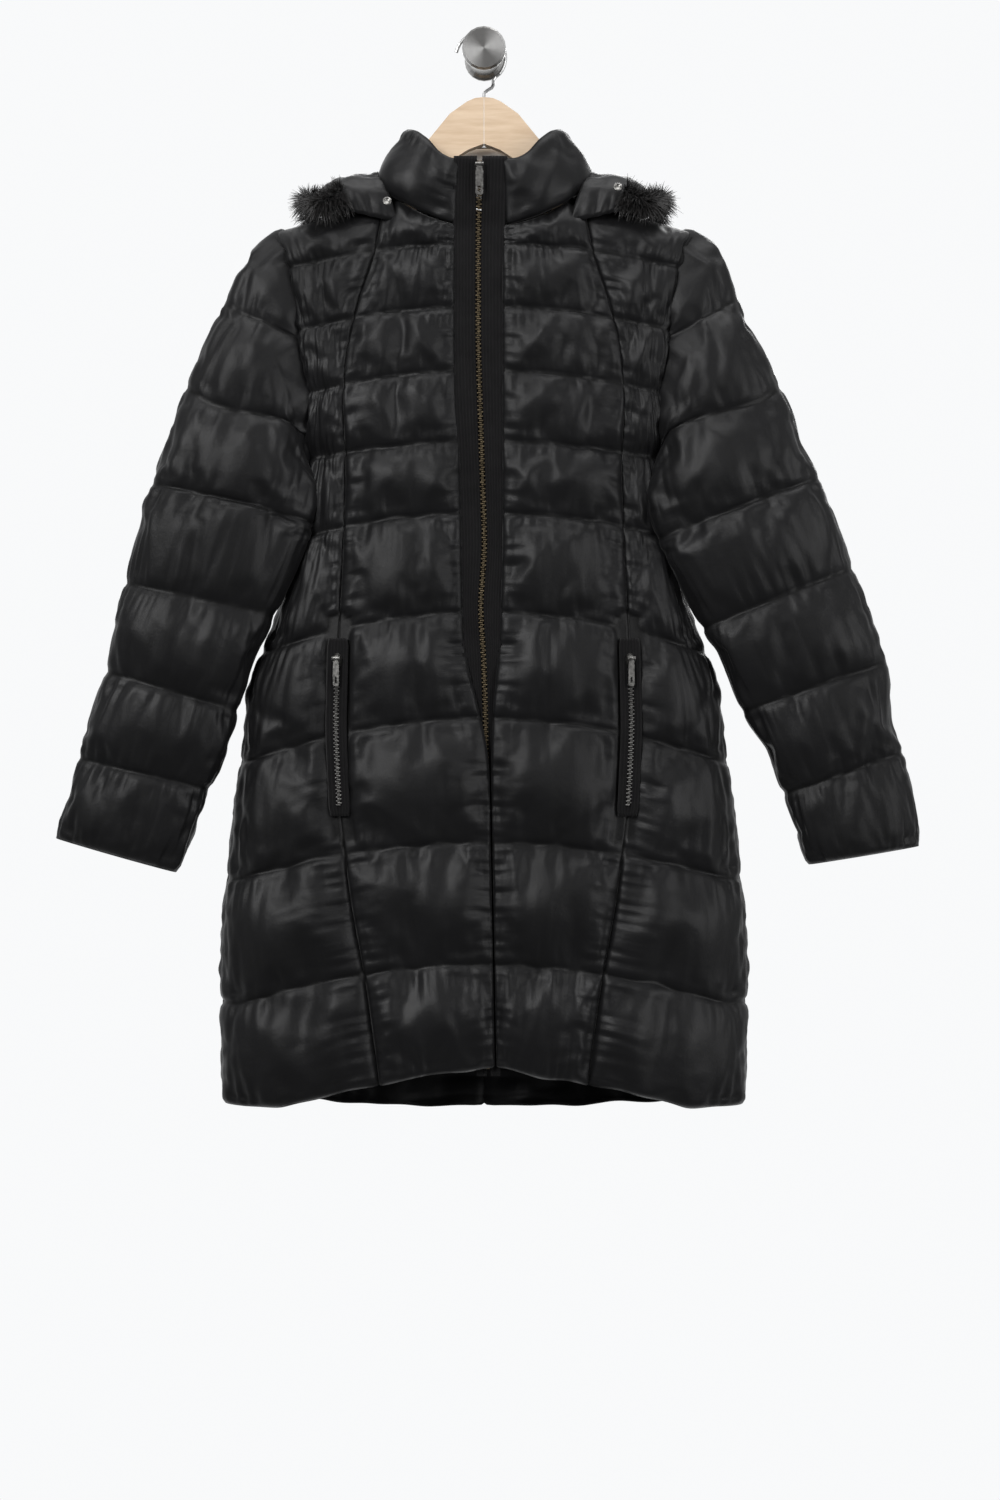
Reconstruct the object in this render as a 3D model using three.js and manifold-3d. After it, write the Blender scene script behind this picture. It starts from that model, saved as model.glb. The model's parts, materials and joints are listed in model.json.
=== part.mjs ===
// Long puffer coat on a wooden hanger, hung from a round steel wall knob.
// Millimetres, +Z up, +X to the wearer's left as seen from the front, +Y towards the wall.
// The origin is the centre of the knob's back face, where it meets the wall.
import * as THREE from "three";
import { mergeVertices } from "three/addons/utils/BufferGeometryUtils.js";
import Module from "manifold-3d";

const wasm = await Module();
wasm.setup();

// Driving sizes
const MID_Y = -60; // plane of the hanger, the side seams and the shoulder seams
const CLOTH = 3; // wall where a seam flattens the padding
const PUFF = 11; // how far the padding rises between two seams
const SEAM = 0.25; // half the gap left between two pieces at a seam
const ROUND = 2.6; // squareness of the coat's cross-section
const SHOULDER_FALL = 0.3; // drop of the shoulder line for each millimetre out
const NECK_X = 90; // half width of the neck hole
const NECK_SIDE_Z = -150;
const NECK_BACK_Z = -158;
const NECK_FRONT_Z = -184;
const SHOULDER_CURVE = 46; // height over which the shoulder rounds from front to back
const ARMHOLE_TOP_Z = -183;
const ARMHOLE_LOW_Z = -404;
const ARMHOLE_DEPTH = 30; // half the armhole's depth, front to back
const HEM_BACK_Z = -1062;
const HEM_CENTRE_Z = -1014;
const HEM_SIDE_Z = -1054;
const POCKET_TOP_Z = -592;
const POCKET_LOW_Z = -767;
const POCKET_FLAT = 13; // plain strip that each pocket zip lies on
const PLAIN_END = 28; // the strip runs on this far past the zip
const STEPS_PER_BAND = 3;

// Shape of the body, from the shoulder tip down: half width at the seams, depth to front and back
const BODY = [
  { z: -140, half: 222, front: 30, back: 17 },
  { z: -183, half: 208, front: 34, back: 18 },
  { z: -207, half: 194, front: 36, back: 17 },
  { z: -232, half: 186, front: 38, back: 16 },
  { z: -262, half: 180, front: 38, back: 14 },
  { z: -292, half: 177, front: 40, back: 14 },
  { z: -322, half: 173, front: 41, back: 14 },
  { z: -352, half: 170, front: 42, back: 15 },
  { z: -404, half: 172, front: 42, back: 17 },
  { z: -420, half: 172, front: 42, back: 18 },
  { z: -432, half: 171, front: 42, back: 20 },
  { z: -452, half: 170, front: 42, back: 22 },
  { z: -464, half: 171, front: 42, back: 24 },
  { z: -478, half: 174, front: 43, back: 26 },
  { z: -502, half: 180, front: 44, back: 28 },
  { z: -550, half: 194, front: 46, back: 31 },
  { z: -580, half: 205, front: 48, back: 32 },
  { z: -607, half: 216, front: 49, back: 33 },
  { z: -640, half: 226, front: 51, back: 34 },
  { z: -722, half: 237, front: 54, back: 34 },
  { z: -802, half: 247, front: 57, back: 34 },
  { z: -882, half: 254, front: 60, back: 34 },
  { z: -937, half: 255, front: 62, back: 34 },
  { z: -987, half: 253, front: 63, back: 34 },
  { z: -1070, half: 254, front: 64, back: 34 },
];

// Shoulder-princess seam, from the middle of the front
const PRINCESS = [
  { z: -140, x: 97 },
  { z: -167, x: 100 },
  { z: -214, x: 108 },
  { z: -252, x: 122 },
  { z: -300, x: 134 },
  { z: -352, x: 139 },
  { z: -422, x: 136 },
  { z: -512, x: 139 },
  { z: -592, x: 143 },
  { z: -682, x: 145 },
  { z: -767, x: 141 },
  { z: -852, x: 130 },
  { z: -932, x: 115 },
  { z: -997, x: 106 },
  { z: -1060, x: 98 },
];

// The front zip wanders a little, and the puffed edges close over its bands lower down
const ZIP_LINE = [
  { z: -110, middle: -4, left: -27, right: 21 },
  { z: -202, middle: -5.5, left: -28, right: 18 },
  { z: -300, middle: -5.5, left: -28, right: 18 },
  { z: -352, middle: -4, left: -27, right: 18 },
  { z: -413, middle: -2, left: -23, right: 18 },
  { z: -502, middle: 1, left: -21, right: 18 },
  { z: -562, middle: -3.5, left: -20, right: 16 },
  { z: -612, middle: 0, left: -18, right: 14 },
  { z: -682, middle: 2, left: -13, right: 13 },
  { z: -752, middle: 2, left: -8, right: 12 },
  { z: -852, middle: 4, left: -5, right: 13 },
  { z: -1060, middle: 5, left: -4, right: 14 },
];

// Quilt seams: height at the middle of the front and at the side
const QUILT_SEAMS = [
  { middle: -201, side: -227 },
  { middle: -264, side: -292 },
  { middle: -328, side: -356 },
  { middle: -398, side: -418 },
  { middle: -468, side: -496 },
  { middle: -566, side: -600 },
  { middle: -671, side: -702 },
  { middle: -793, side: -818 },
  { middle: -912, side: -940 },
];

// Sleeves: each row is a section, by its outer and inner edge and its depth
const SLEEVE_LEFT = [
  { ox: -212, oz: -179, ix: -180, iz: -404, depth: 34, y: -60 },
  { ox: -234, oz: -205, ix: -174, iz: -420, depth: 36, y: -66 },
  { ox: -252, oz: -242, ix: -168, iz: -432, depth: 38, y: -71 },
  { ox: -272, oz: -287, ix: -165, iz: -442, depth: 38, y: -76 },
  { ox: -292, oz: -332, ix: -165, iz: -452, depth: 37, y: -80 },
  { ox: -309, oz: -382, ix: -166, iz: -464, depth: 36, y: -83 },
  { ox: -324, oz: -422, ix: -169, iz: -478, depth: 36, y: -85 },
  { ox: -338, oz: -464, ix: -178, iz: -502, depth: 35, y: -86 },
  { ox: -355, oz: -537, ix: -212, iz: -580, depth: 34, y: -86 },
  { ox: -366, oz: -572, ix: -226, iz: -612, depth: 34, y: -85 },
  { ox: -374, oz: -624, ix: -244, iz: -663, depth: 33, y: -84 },
  { ox: -392, oz: -672, ix: -256, iz: -705, depth: 32, y: -82 },
  { ox: -402, oz: -709, ix: -276, iz: -749, depth: 30, y: -80 },
  { ox: -414, oz: -749, ix: -287, iz: -780, depth: 29, y: -79 },
  { ox: -427, oz: -789, ix: -304, iz: -824, depth: 28, y: -78 },
];
const SLEEVE_RIGHT = [
  { ox: 212, oz: -179, ix: 178, iz: -404, depth: 34, y: -60 },
  { ox: 231, oz: -200, ix: 171, iz: -420, depth: 36, y: -66 },
  { ox: 246, oz: -234, ix: 165, iz: -432, depth: 38, y: -71 },
  { ox: 263, oz: -277, ix: 163, iz: -442, depth: 38, y: -76 },
  { ox: 282, oz: -315, ix: 163, iz: -452, depth: 37, y: -80 },
  { ox: 301, oz: -357, ix: 164, iz: -464, depth: 36, y: -83 },
  { ox: 316, oz: -397, ix: 166, iz: -474, depth: 36, y: -85 },
  { ox: 331, oz: -427, ix: 172, iz: -494, depth: 35, y: -86 },
  { ox: 346, oz: -467, ix: 184, iz: -520, depth: 34, y: -86 },
  { ox: 366, oz: -522, ix: 217, iz: -582, depth: 34, y: -85 },
  { ox: 383, oz: -567, ix: 231, iz: -607, depth: 34, y: -84 },
  { ox: 401, oz: -614, ix: 256, iz: -664, depth: 33, y: -82 },
  { ox: 406, oz: -672, ix: 281, iz: -704, depth: 32, y: -80 },
  { ox: 419, oz: -712, ix: 299, iz: -749, depth: 30, y: -79 },
  { ox: 428, oz: -757, ix: 311, iz: -784, depth: 29, y: -78 },
  { ox: 434, oz: -797, ix: 321, iz: -816, depth: 28, y: -78 },
];
// Quilt seams of the sleeves in rows of the tables above, at the outer and at the inner edge
const SLEEVE_LEFT_SEAMS = [
  { outer: 0, inner: 0 },
  { outer: 2.33, inner: -2.33 },
  { outer: 4.2, inner: -0.22 },
  { outer: 6.4, inner: 6.0 },
  { outer: 8, inner: 7.85 },
  { outer: 10, inner: 10 },
  { outer: 12, inner: 11.8 },
  { outer: 14, inner: 14 },
];
const SLEEVE_RIGHT_SEAMS = [
  { outer: 0, inner: 0 },
  { outer: 2.4, inner: -2.3 },
  { outer: 4.64, inner: -0.24 },
  { outer: 7.15, inner: 7.0 },
  { outer: 9, inner: 9 },
  { outer: 11, inner: 11 },
  { outer: 12.8, inner: 12.9 },
  { outer: 15, inner: 15 },
];

// Reads a column of a table at a height, or at a place counted in rows
function lookUp(table, column, z, key = "z") {
  let i = 0;
  while (i < table.length - 2 && z < table[i + 1][key]) i++;
  const a = table[i];
  const b = table[i + 1];
  const t = Math.min(1, Math.max(0, (z - a[key]) / (b[key] - a[key])));
  return a[column] + (b[column] - a[column]) * t;
}
function atRow(table, column, row) {
  const i = Math.min(table.length - 2, Math.floor(row));
  return table[i][column] + (table[i + 1][column] - table[i][column]) * (row - i);
}
const mix = (a, b, t) => a + (b - a) * t;
const clamp01 = (t) => Math.min(1, Math.max(0, t));
const vec = (x, y, z) => new THREE.Vector3(x, y, z);

// Top edge of the body: neck hole in the middle, shoulder line outside it
const ridge = (x) => NECK_SIDE_Z - SHOULDER_FALL * (Math.abs(x) - NECK_X);
function topEdge(x, side) {
  const far = Math.abs(x);
  if (far >= NECK_X) return ridge(x);
  const centre = side === "front" ? NECK_FRONT_Z : NECK_BACK_Z;
  return mix(centre, NECK_SIDE_Z, (far / NECK_X) ** (side === "front" ? 2.4 : 6));
}

function armholeDepth(z) {
  const t = (ARMHOLE_TOP_Z - z) / (ARMHOLE_TOP_Z - ARMHOLE_LOW_Z);
  return t <= 0 || t >= 1 ? 0 : ARMHOLE_DEPTH * Math.sin(Math.PI * t) ** 0.5;
}

// Distance of the plain inner face from the middle plane
function innerDepth(x, z, side) {
  const half = lookUp(BODY, "half", z);
  const full = lookUp(BODY, side, z);
  const arm = Math.min(armholeDepth(z), full);
  const edge = clamp01(1 - Math.min(1, Math.abs(x) / half) ** ROUND) ** (1 / ROUND);
  const down = clamp01((ridge(x) - z) / SHOULDER_CURVE);
  const round = Math.sqrt(1 - (1 - down) ** 2);
  return SEAM + round * (arm + (full - arm) * edge);
}

// A point of the body's wall: x and height, front or back, moved out by a distance
function bodyPoint(x, z, side, out) {
  const half = lookUp(BODY, "half", z);
  const full = lookUp(BODY, side, z);
  const reach = Math.min(1, Math.abs(x) / half);
  const nx = reach ** (ROUND - 1) / half;
  const ny = clamp01(1 - reach ** ROUND) ** ((ROUND - 1) / ROUND) / full;
  const length = Math.hypot(nx, ny);
  const away = side === "front" ? -1 : 1;
  return vec(
    x + (Math.sign(x) * nx * out) / length,
    MID_Y + away * (innerDepth(x, z, side) + (ny * out) / length),
    z,
  );
}

// Padding between two seams, 0 at the seams and 1 in the middle
const swell = (t) => Math.sin(Math.PI * clamp01(t)) ** 0.6;

// A closed wall from a grid of inner and outer points; a ring closes on itself
function wall(inner, outer, ring = false) {
  const rows = inner.length;
  const columns = inner[0].length;
  const positions = [];
  const triangles = [];
  for (const grid of [inner, outer])
    for (const line of grid) for (const p of line) positions.push(p.x, p.y, p.z);
  const at = (layer, i, j) => layer * rows * columns + i * columns + (j % columns);
  const quad = (a, b, c, d) => triangles.push(a, b, c, a, c, d);
  const lastColumn = ring ? columns : columns - 1;
  for (let i = 0; i < rows - 1; i++)
    for (let j = 0; j < lastColumn; j++) {
      quad(at(1, i, j), at(1, i, j + 1), at(1, i + 1, j + 1), at(1, i + 1, j));
      quad(at(0, i, j), at(0, i + 1, j), at(0, i + 1, j + 1), at(0, i, j + 1));
    }
  for (let j = 0; j < lastColumn; j++) {
    quad(at(0, 0, j), at(0, 0, j + 1), at(1, 0, j + 1), at(1, 0, j));
    quad(at(0, rows - 1, j + 1), at(0, rows - 1, j), at(1, rows - 1, j), at(1, rows - 1, j + 1));
  }
  if (!ring)
    for (let i = 0; i < rows - 1; i++) {
      quad(at(0, i + 1, 0), at(0, i, 0), at(1, i, 0), at(1, i + 1, 0));
      const j = columns - 1;
      quad(at(0, i, j), at(0, i + 1, j), at(1, i + 1, j), at(1, i, j));
    }
  const geometry = new THREE.BufferGeometry();
  geometry.setAttribute("position", new THREE.Float32BufferAttribute(positions, 3));
  geometry.setIndex(faceOut(positions, triangles));
  return geometry;
}

// Turns all triangles round when the body they close is inside out
function faceOut(positions, triangles) {
  let volume = 0;
  const a = new THREE.Vector3();
  const b = new THREE.Vector3();
  const c = new THREE.Vector3();
  for (let i = 0; i < triangles.length; i += 3) {
    a.fromArray(positions, 3 * triangles[i]);
    b.fromArray(positions, 3 * triangles[i + 1]);
    c.fromArray(positions, 3 * triangles[i + 2]);
    volume += a.dot(b.cross(c));
  }
  if (volume < 0)
    for (let i = 0; i < triangles.length; i += 3)
      [triangles[i + 1], triangles[i + 2]] = [triangles[i + 2], triangles[i + 1]];
  return triangles;
}

// Heights of the quilt seams at one x, from the top edge to the hem
function seamHeights(x, side) {
  const half = 200;
  const spread = Math.min(1.2, Math.abs(x) / half) ** 2;
  const heights = QUILT_SEAMS.map((s) => mix(side === "front" ? s.middle : s.side, s.side, spread));
  const hem = side === "front"
    ? mix(HEM_CENTRE_Z, HEM_SIDE_Z, Math.min(1, Math.abs(x) / half) ** 1.3)
    : mix(HEM_BACK_Z, HEM_SIDE_Z, spread);
  return [topEdge(x, side), ...heights, hem];
}

// A body panel: xAt gives x for a column and a height, edgeOut scales the padding there
function panel(side, columns, xAt, edgeOut) {
  const bands = QUILT_SEAMS.length + 1;
  const inner = [];
  const outer = [];
  for (let r = 0; r <= bands * STEPS_PER_BAND; r++) {
    const band = Math.min(bands - 1, Math.floor(r / STEPS_PER_BAND));
    const t = r / STEPS_PER_BAND - band;
    inner.push([]);
    outer.push([]);
    for (let c = 0; c <= columns; c++) {
      let x = 0;
      let z = -600;
      for (let pass = 0; pass < 4; pass++) {
        x = xAt(c / columns, z);
        const heights = seamHeights(x, side);
        z = mix(heights[band], heights[band + 1], t);
      }
      const out = CLOTH + PUFF * swell(t) * edgeOut(c / columns, z);
      inner[r].push(bodyPoint(x, z, side, 0));
      outer[r].push(bodyPoint(x, z, side, out));
    }
  }
  return wall(inner, outer);
}

const inPocket = (z) => z < POCKET_TOP_Z + PLAIN_END && z > POCKET_LOW_Z - PLAIN_END;
const princessX = (z) => lookUp(PRINCESS, "x", z);

function frontCentre(sign) {
  const edge = sign < 0 ? "left" : "right";
  const xAt = (s, z) => {
    const from = lookUp(ZIP_LINE, edge, z) + sign * SEAM;
    const to = sign * (princessX(z) - SEAM);
    const strip = sign * POCKET_FLAT;
    return s >= 5 / 6 ? mix(to - strip, to, s * 6 - 5) : mix(from, to - strip, (s * 6) / 5);
  };
  const puff = (s, z) => {
    if (s === 0 || s === 1) return 0;
    return s > 4.5 / 6 ? (inPocket(z) ? 0 : 0.75) : 0.8 + 0.2 * swell(s);
  };
  return panel("front", 6, xAt, puff);
}

function frontSide(sign) {
  const xAt = (s, z) => {
    const half = lookUp(BODY, "half", z);
    const start = princessX(z) + SEAM;
    if (s <= 1 / 7) return sign * mix(start, start + POCKET_FLAT, s * 7);
    const from = Math.acos(Math.min(1, (start + POCKET_FLAT) / half) ** (ROUND / 2));
    const angle = mix(from, 0, (s * 7 - 1) / 6);
    return sign * half * Math.cos(angle) ** (2 / ROUND);
  };
  const puff = (s, z) => {
    if (s === 0) return 0;
    if (s < 1.5 / 7) return inPocket(z) ? 0 : 0.75;
    return s === 1 ? 0.25 : 1;
  };
  return panel("front", 7, xAt, puff);
}

function backHalf(sign) {
  const xAt = (s, z) => {
    const half = lookUp(BODY, "half", z);
    const angle = mix(Math.PI / 2, 0, s);
    return sign * Math.max(SEAM, half * Math.cos(angle) ** (2 / ROUND));
  };
  const puff = (s) => (s === 0 ? 0 : s === 1 ? 0.25 : 0.8);
  return panel("back", 5, xAt, puff);
}

// Sleeve: sections from the armhole to the cuff, each a flattened ring
const SLEEVE_SIDES = 12;
const ARMHOLE_BOW = 20; // how far the armhole seam curves in towards the chest
function sleevePoint(table, row, angle, out) {
  const first = clamp01(1 - row); // 1 at the armhole, where the section bows in along its seam
  const o = vec(atRow(table, "ox", row), 0, atRow(table, "oz", row));
  const i = vec(atRow(table, "ix", row), 0, atRow(table, "iz", row));
  const centre = o.clone().add(i).multiplyScalar(0.5);
  const across = o.clone().sub(i).multiplyScalar(0.5);
  const width = across.length();
  const depth = atRow(table, "depth", row);
  const c = Math.cos(angle);
  const s = Math.sin(angle);
  const bow = ARMHOLE_BOW * first * Math.sqrt(1 - c ** 6);
  const along = across.clone().normalize();
  const side = Math.sign(centre.x);
  const radial = Math.sign(s) * Math.abs(s) ** 0.85;
  const point = centre.clone().addScaledVector(along, (width - CLOTH - 6 + out) * c);
  point.y = atRow(table, "y", row) - (depth - CLOTH - 6 + out) * radial;
  point.x -= side * bow;
  return point;
}
// A seam that runs out at the armhole is crowded into its edge, one thin step for each band
const CROWD = 0.06;
function sleeve(table, seams) {
  const seamRow = (k, angle) =>
    Math.max(CROWD * k, mix(seams[k].outer, seams[k].inner, (1 - Math.cos(angle)) / 2));
  const inner = [];
  const outer = [];
  for (let b = 0; b < seams.length - 1; b++)
    for (let k = b === 0 ? 0 : 1; k <= STEPS_PER_BAND; k++) {
      const t = k / STEPS_PER_BAND;
      const ringIn = [];
      const ringOut = [];
      for (let j = 0; j < SLEEVE_SIDES; j++) {
        const angle = (2 * Math.PI * j) / SLEEVE_SIDES;
        const top = seamRow(b, angle);
        const low = seamRow(b + 1, angle);
        const row = mix(top, low, t);
        const puff = PUFF * 0.9 * swell(t) * clamp01((low - top) / 0.8);
        ringIn.push(sleevePoint(table, row, angle, 0));
        ringOut.push(sleevePoint(table, row, angle, CLOTH + puff));
      }
      inner.push(ringIn);
      outer.push(ringOut);
    }
  return wall(inner, outer, true);
}

// Boolean joins and cuts
function solid(geometry) {
  const bare = new THREE.BufferGeometry();
  bare.setAttribute("position", geometry.getAttribute("position"));
  if (geometry.index) bare.setIndex(geometry.index);
  const merged = mergeVertices(bare, 1e-3);
  return new wasm.Manifold(new wasm.Mesh({
    numProp: 3,
    vertProperties: merged.getAttribute("position").array,
    triVerts: new Uint32Array(merged.index.array),
  }));
}
function geometryOf(body) {
  const largest = body.decompose().sort((a, b) => b.volume() - a.volume())[0];
  const mesh = largest.getMesh();
  const geometry = new THREE.BufferGeometry();
  geometry.setAttribute("position", new THREE.BufferAttribute(mesh.vertProperties, 3));
  geometry.setIndex(new THREE.BufferAttribute(mesh.triVerts, 1));
  return geometry;
}
const join = (...parts) => geometryOf(parts.map(solid).reduce((a, b) => a.add(b)));

// Trims a piece back from what it lies against, so that a seam's gap is left all round
const CLEARANCE = 0.4;
function clearOf(geometry, ...others) {
  let body = solid(geometry);
  for (const other of others.map(solid))
    for (const [x, y, z] of [[1, 0, 0], [-1, 0, 0], [0, 1, 0], [0, -1, 0], [0, 0, 1], [0, 0, -1]])
      body = body.subtract(other.translate([x * CLEARANCE, y * CLEARANCE, z * CLEARANCE]));
  return geometryOf(body);
}

// Stand collar, from the left zip band round the back of the neck to the right one
const COLLAR_PUFF = 15;
const COLLAR_STEPS = 18;
const COLLAR_FRONT_Y = -102; // the open top stands forward of the neckline
const COLLAR_BACK_Y = -44;
const COLLAR_TOP_X = 78;
const COLLAR_EDGE = { left: 27, right: 21 };
const COLLAR_TOP_FRONT = [
  { x: 0, z: -118 },
  { x: 34, z: -117 },
  { x: 59, z: -92 },
  { x: 78, z: -83 },
];
const COLLAR_TOP_BACK = [
  { x: 0, z: -96 },
  { x: 60, z: -99 },
  { x: 78, z: -83 },
];
function byX(table, x) {
  let i = 0;
  while (i < table.length - 2 && x > table[i + 1].x) i++;
  const t = clamp01((x - table[i].x) / (table[i + 1].x - table[i].x));
  return mix(table[i].z, table[i + 1].z, t);
}
// turn is 0 at the middle of the back and half a turn at the front; up is 0 at the seam
function collarPoint(turn, up, out) {
  const sine = Math.sin(turn);
  const front = Math.abs(turn) > Math.PI / 2;
  const side = front ? "front" : "back";
  const baseX = NECK_X * sine;
  const topX = COLLAR_TOP_X * sine;
  const base = bodyPoint(baseX, topEdge(baseX, side), side, 0);
  base.z += 2 * SEAM;
  const reach = front ? COLLAR_FRONT_Y - MID_Y : COLLAR_BACK_Y - MID_Y;
  const top = vec(topX, MID_Y + reach * Math.abs(Math.cos(turn)) ** 0.8,
    byX(front ? COLLAR_TOP_FRONT : COLLAR_TOP_BACK, Math.abs(topX)));
  const away = vec(sine, -Math.sign(Math.abs(turn) - Math.PI / 2) * Math.abs(Math.cos(turn)), 0);
  return base.lerp(top, up).addScaledVector(away, out);
}
function collar() {
  const start = -(Math.PI - Math.asin(COLLAR_EDGE.left / NECK_X));
  const end = Math.PI - Math.asin(COLLAR_EDGE.right / NECK_X);
  const inner = [];
  const outer = [];
  const rows = 6;
  for (let r = 0; r <= rows; r++) {
    inner.push([]);
    outer.push([]);
    for (let c = 0; c <= COLLAR_STEPS; c++) {
      const turn = mix(start, end, c / COLLAR_STEPS);
      const plain = c === 0 || c === COLLAR_STEPS ? 0 : 1;
      inner[r].push(collarPoint(turn, r / rows, 0));
      const side = 0.75 + 0.75 * Math.abs(Math.sin(turn)) ** 3; // fuller over the shoulders
      const up = r / rows;
      outer[r].push(collarPoint(turn, up, CLOTH + COLLAR_PUFF * side * plain * swell(up ** 0.7)));
    }
  }
  return wall(inner, outer);
}

// Plain satin patch on the inside of the collar, at the back of the neck
const PATCH = { half: 0.42, low: 0.12, high: 0.86, rows: 3, columns: 6 };
function neckPatch() {
  const inner = [];
  const outer = [];
  for (let r = 0; r <= PATCH.rows; r++) {
    inner.push([]);
    outer.push([]);
    for (let c = 0; c <= PATCH.columns; c++) {
      const turn = mix(-PATCH.half, PATCH.half, c / PATCH.columns);
      const up = mix(PATCH.low, PATCH.high, r / PATCH.rows);
      inner[r].push(collarPoint(turn, up, -1.4));
      outer[r].push(collarPoint(turn, up, -0.5));
    }
  }
  return wall(inner, outer);
}

// Front zip: two ribbed bands and the chain between them
const BAND = 1.6;
const TEETH_HALF = 3.3;
const ZIP_TOP_Z = -116;
const ZIP_LOW_Z = -1022;
const ZIP_SINK = { from: -620, to: -760, depth: 7 }; // the puffed edges close over the zip lower down
function zipPoint(x, z, out) {
  const sink = ZIP_SINK.depth * clamp01((z - ZIP_SINK.from) / (ZIP_SINK.to - ZIP_SINK.from));
  if (z <= NECK_FRONT_Z) return bodyPoint(x, z, "front", 0).add(vec(0, sink - out, 0));
  const up = (z - NECK_FRONT_Z) / (ZIP_TOP_Z - NECK_FRONT_Z);
  const low = bodyPoint(x, NECK_FRONT_Z, "front", 0).y;
  return vec(x, mix(low, COLLAR_FRONT_Y + 2, up) - out, z);
}
function zipStrip(fromX, toX, top, low, under, over) {
  const inner = [];
  const outer = [];
  const rows = 18;
  for (let r = 0; r <= rows; r++) {
    const z = mix(top, low, r / rows);
    const xs = [fromX(z), toX(z)];
    inner.push(xs.map((x) => zipPoint(x, z, under)));
    outer.push(xs.map((x) => zipPoint(x, z, over)));
  }
  return wall(inner, outer);
}
const zipMiddle = (z) => lookUp(ZIP_LINE, "middle", z);
function zipBand(sign) {
  const edge = sign < 0 ? "left" : "right";
  const fromX = (z) => zipMiddle(z) + sign * (TEETH_HALF + 3 * SEAM);
  const toX = (z) => {
    const wide = lookUp(ZIP_LINE, edge, z) - sign * 1.2;
    const least = fromX(z) + sign * 1.5;
    return sign < 0 ? Math.min(wide, least) : Math.max(wide, least);
  };
  return zipStrip(fromX, toX, ZIP_TOP_Z, ZIP_LOW_Z, 0.3, BAND);
}
const CHAIN_TOP_Z = -137;
const zipChain = () => zipStrip((z) => zipMiddle(z) - TEETH_HALF + SEAM, (z) => zipMiddle(z) + TEETH_HALF - SEAM,
  CHAIN_TOP_Z, ZIP_LOW_Z + 4, 0.2, 2.6);

// Slider with two lugs and a pin, and the pull tab whose eye turns on that pin
const SLIDER = { width: 10, height: 15, thick: 3.2, lug: 1.5, eye: 4.4, pin: 0.9, pinY: 5.6, pinUp: 2 };
function box(width, depth, height, x, y, z) {
  return new THREE.BoxGeometry(width, depth, height).translate(x, y, z);
}
function barX(radius, length, y, z, sides = 14) {
  return new THREE.CylinderGeometry(radius, radius, length, sides).rotateZ(Math.PI / 2).translate(0, y, z);
}
function slider() {
  const { width, height, thick, lug, eye, pin, pinY, pinUp } = SLIDER;
  const lugAt = eye / 2 + 0.3 + lug / 2;
  const lugs = [-1, 1].map((s) => join(
    box(lug, pinY, 4.4, s * lugAt, -pinY / 2, pinUp),
    barX(2.2, lug, -pinY, pinUp).translate(s * lugAt, 0, 0),
  ));
  const body = new THREE.CylinderGeometry(width / 2, width / 2 - 1.4, thick, 16)
    .scale(1, 1, height / width).translate(0, -thick / 2, 0);
  return join(body, ...lugs, barX(pin, eye + 2 * lug, -pinY, pinUp));
}
function pullTab(width, length) {
  const { eye, pin, pinY, pinUp } = SLIDER;
  const ring = new THREE.Shape();
  ring.absarc(0, 0, 2.1, 0, 2 * Math.PI);
  const hole = new THREE.Path();
  hole.absarc(0, 0, pin + 0.3, 0, 2 * Math.PI, true);
  ring.holes.push(hole);
  const barrel = new THREE.ExtrudeGeometry(ring, { depth: eye, bevelEnabled: false, curveSegments: 9 })
    .translate(0, 0, -eye / 2).rotateY(Math.PI / 2);
  const plate = new THREE.Shape();
  plate.moveTo(-eye / 2, -1.5);
  plate.lineTo(-width / 2, -7);
  plate.lineTo(-width / 2, -length + 2);
  plate.quadraticCurveTo(-width / 2, -length, -width / 2 + 2, -length);
  plate.lineTo(width / 2 - 2, -length);
  plate.quadraticCurveTo(width / 2, -length, width / 2, -length + 2);
  plate.lineTo(width / 2, -7);
  plate.lineTo(eye / 2, -1.5);
  const slot = new THREE.Path();
  slot.moveTo(-width / 2 + 2, -length + 3);
  slot.lineTo(-width / 2 + 2, -length + 9);
  slot.lineTo(width / 2 - 2, -length + 9);
  slot.lineTo(width / 2 - 2, -length + 3);
  plate.holes.push(slot);
  const flat = new THREE.ExtrudeGeometry(plate, { depth: 1.4, bevelEnabled: false, curveSegments: 6 })
    .translate(0, 0, -0.7).rotateX(Math.PI / 2);
  const arm = join(barrel, cutBore(flat));
  return arm.translate(0, -pinY, pinUp);
}
// The plate's top stays clear of the pin's bore
function cutBore(plate) {
  const bore = new THREE.CylinderGeometry(SLIDER.pin + 0.3, SLIDER.pin + 0.3, 20, 14).rotateZ(Math.PI / 2);
  return geometryOf(solid(plate).subtract(solid(bore)));
}

// Pocket zips lie on the plain strip of the princess seam
const POCKET = { tapeHalf: 10.5, under: CLOTH + 0.8, over: CLOTH + 1.8, chainHalf: 2.6, chain: CLOTH + 3.8 };
const POCKET_SLIDER_Z = -614;
function pocketStrip(sign, half, top, low, under, over) {
  const inner = [];
  const outer = [];
  const rows = 9;
  for (let r = 0; r <= rows; r++) {
    const z = mix(top, low, r / rows);
    const xs = [-1, 0, 1].map((t) => sign * princessX(z) + t * half);
    inner.push(xs.map((x) => bodyPoint(x, z, "front", under)));
    outer.push(xs.map((x) => bodyPoint(x, z, "front", over)));
  }
  return wall(inner, outer);
}

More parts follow.
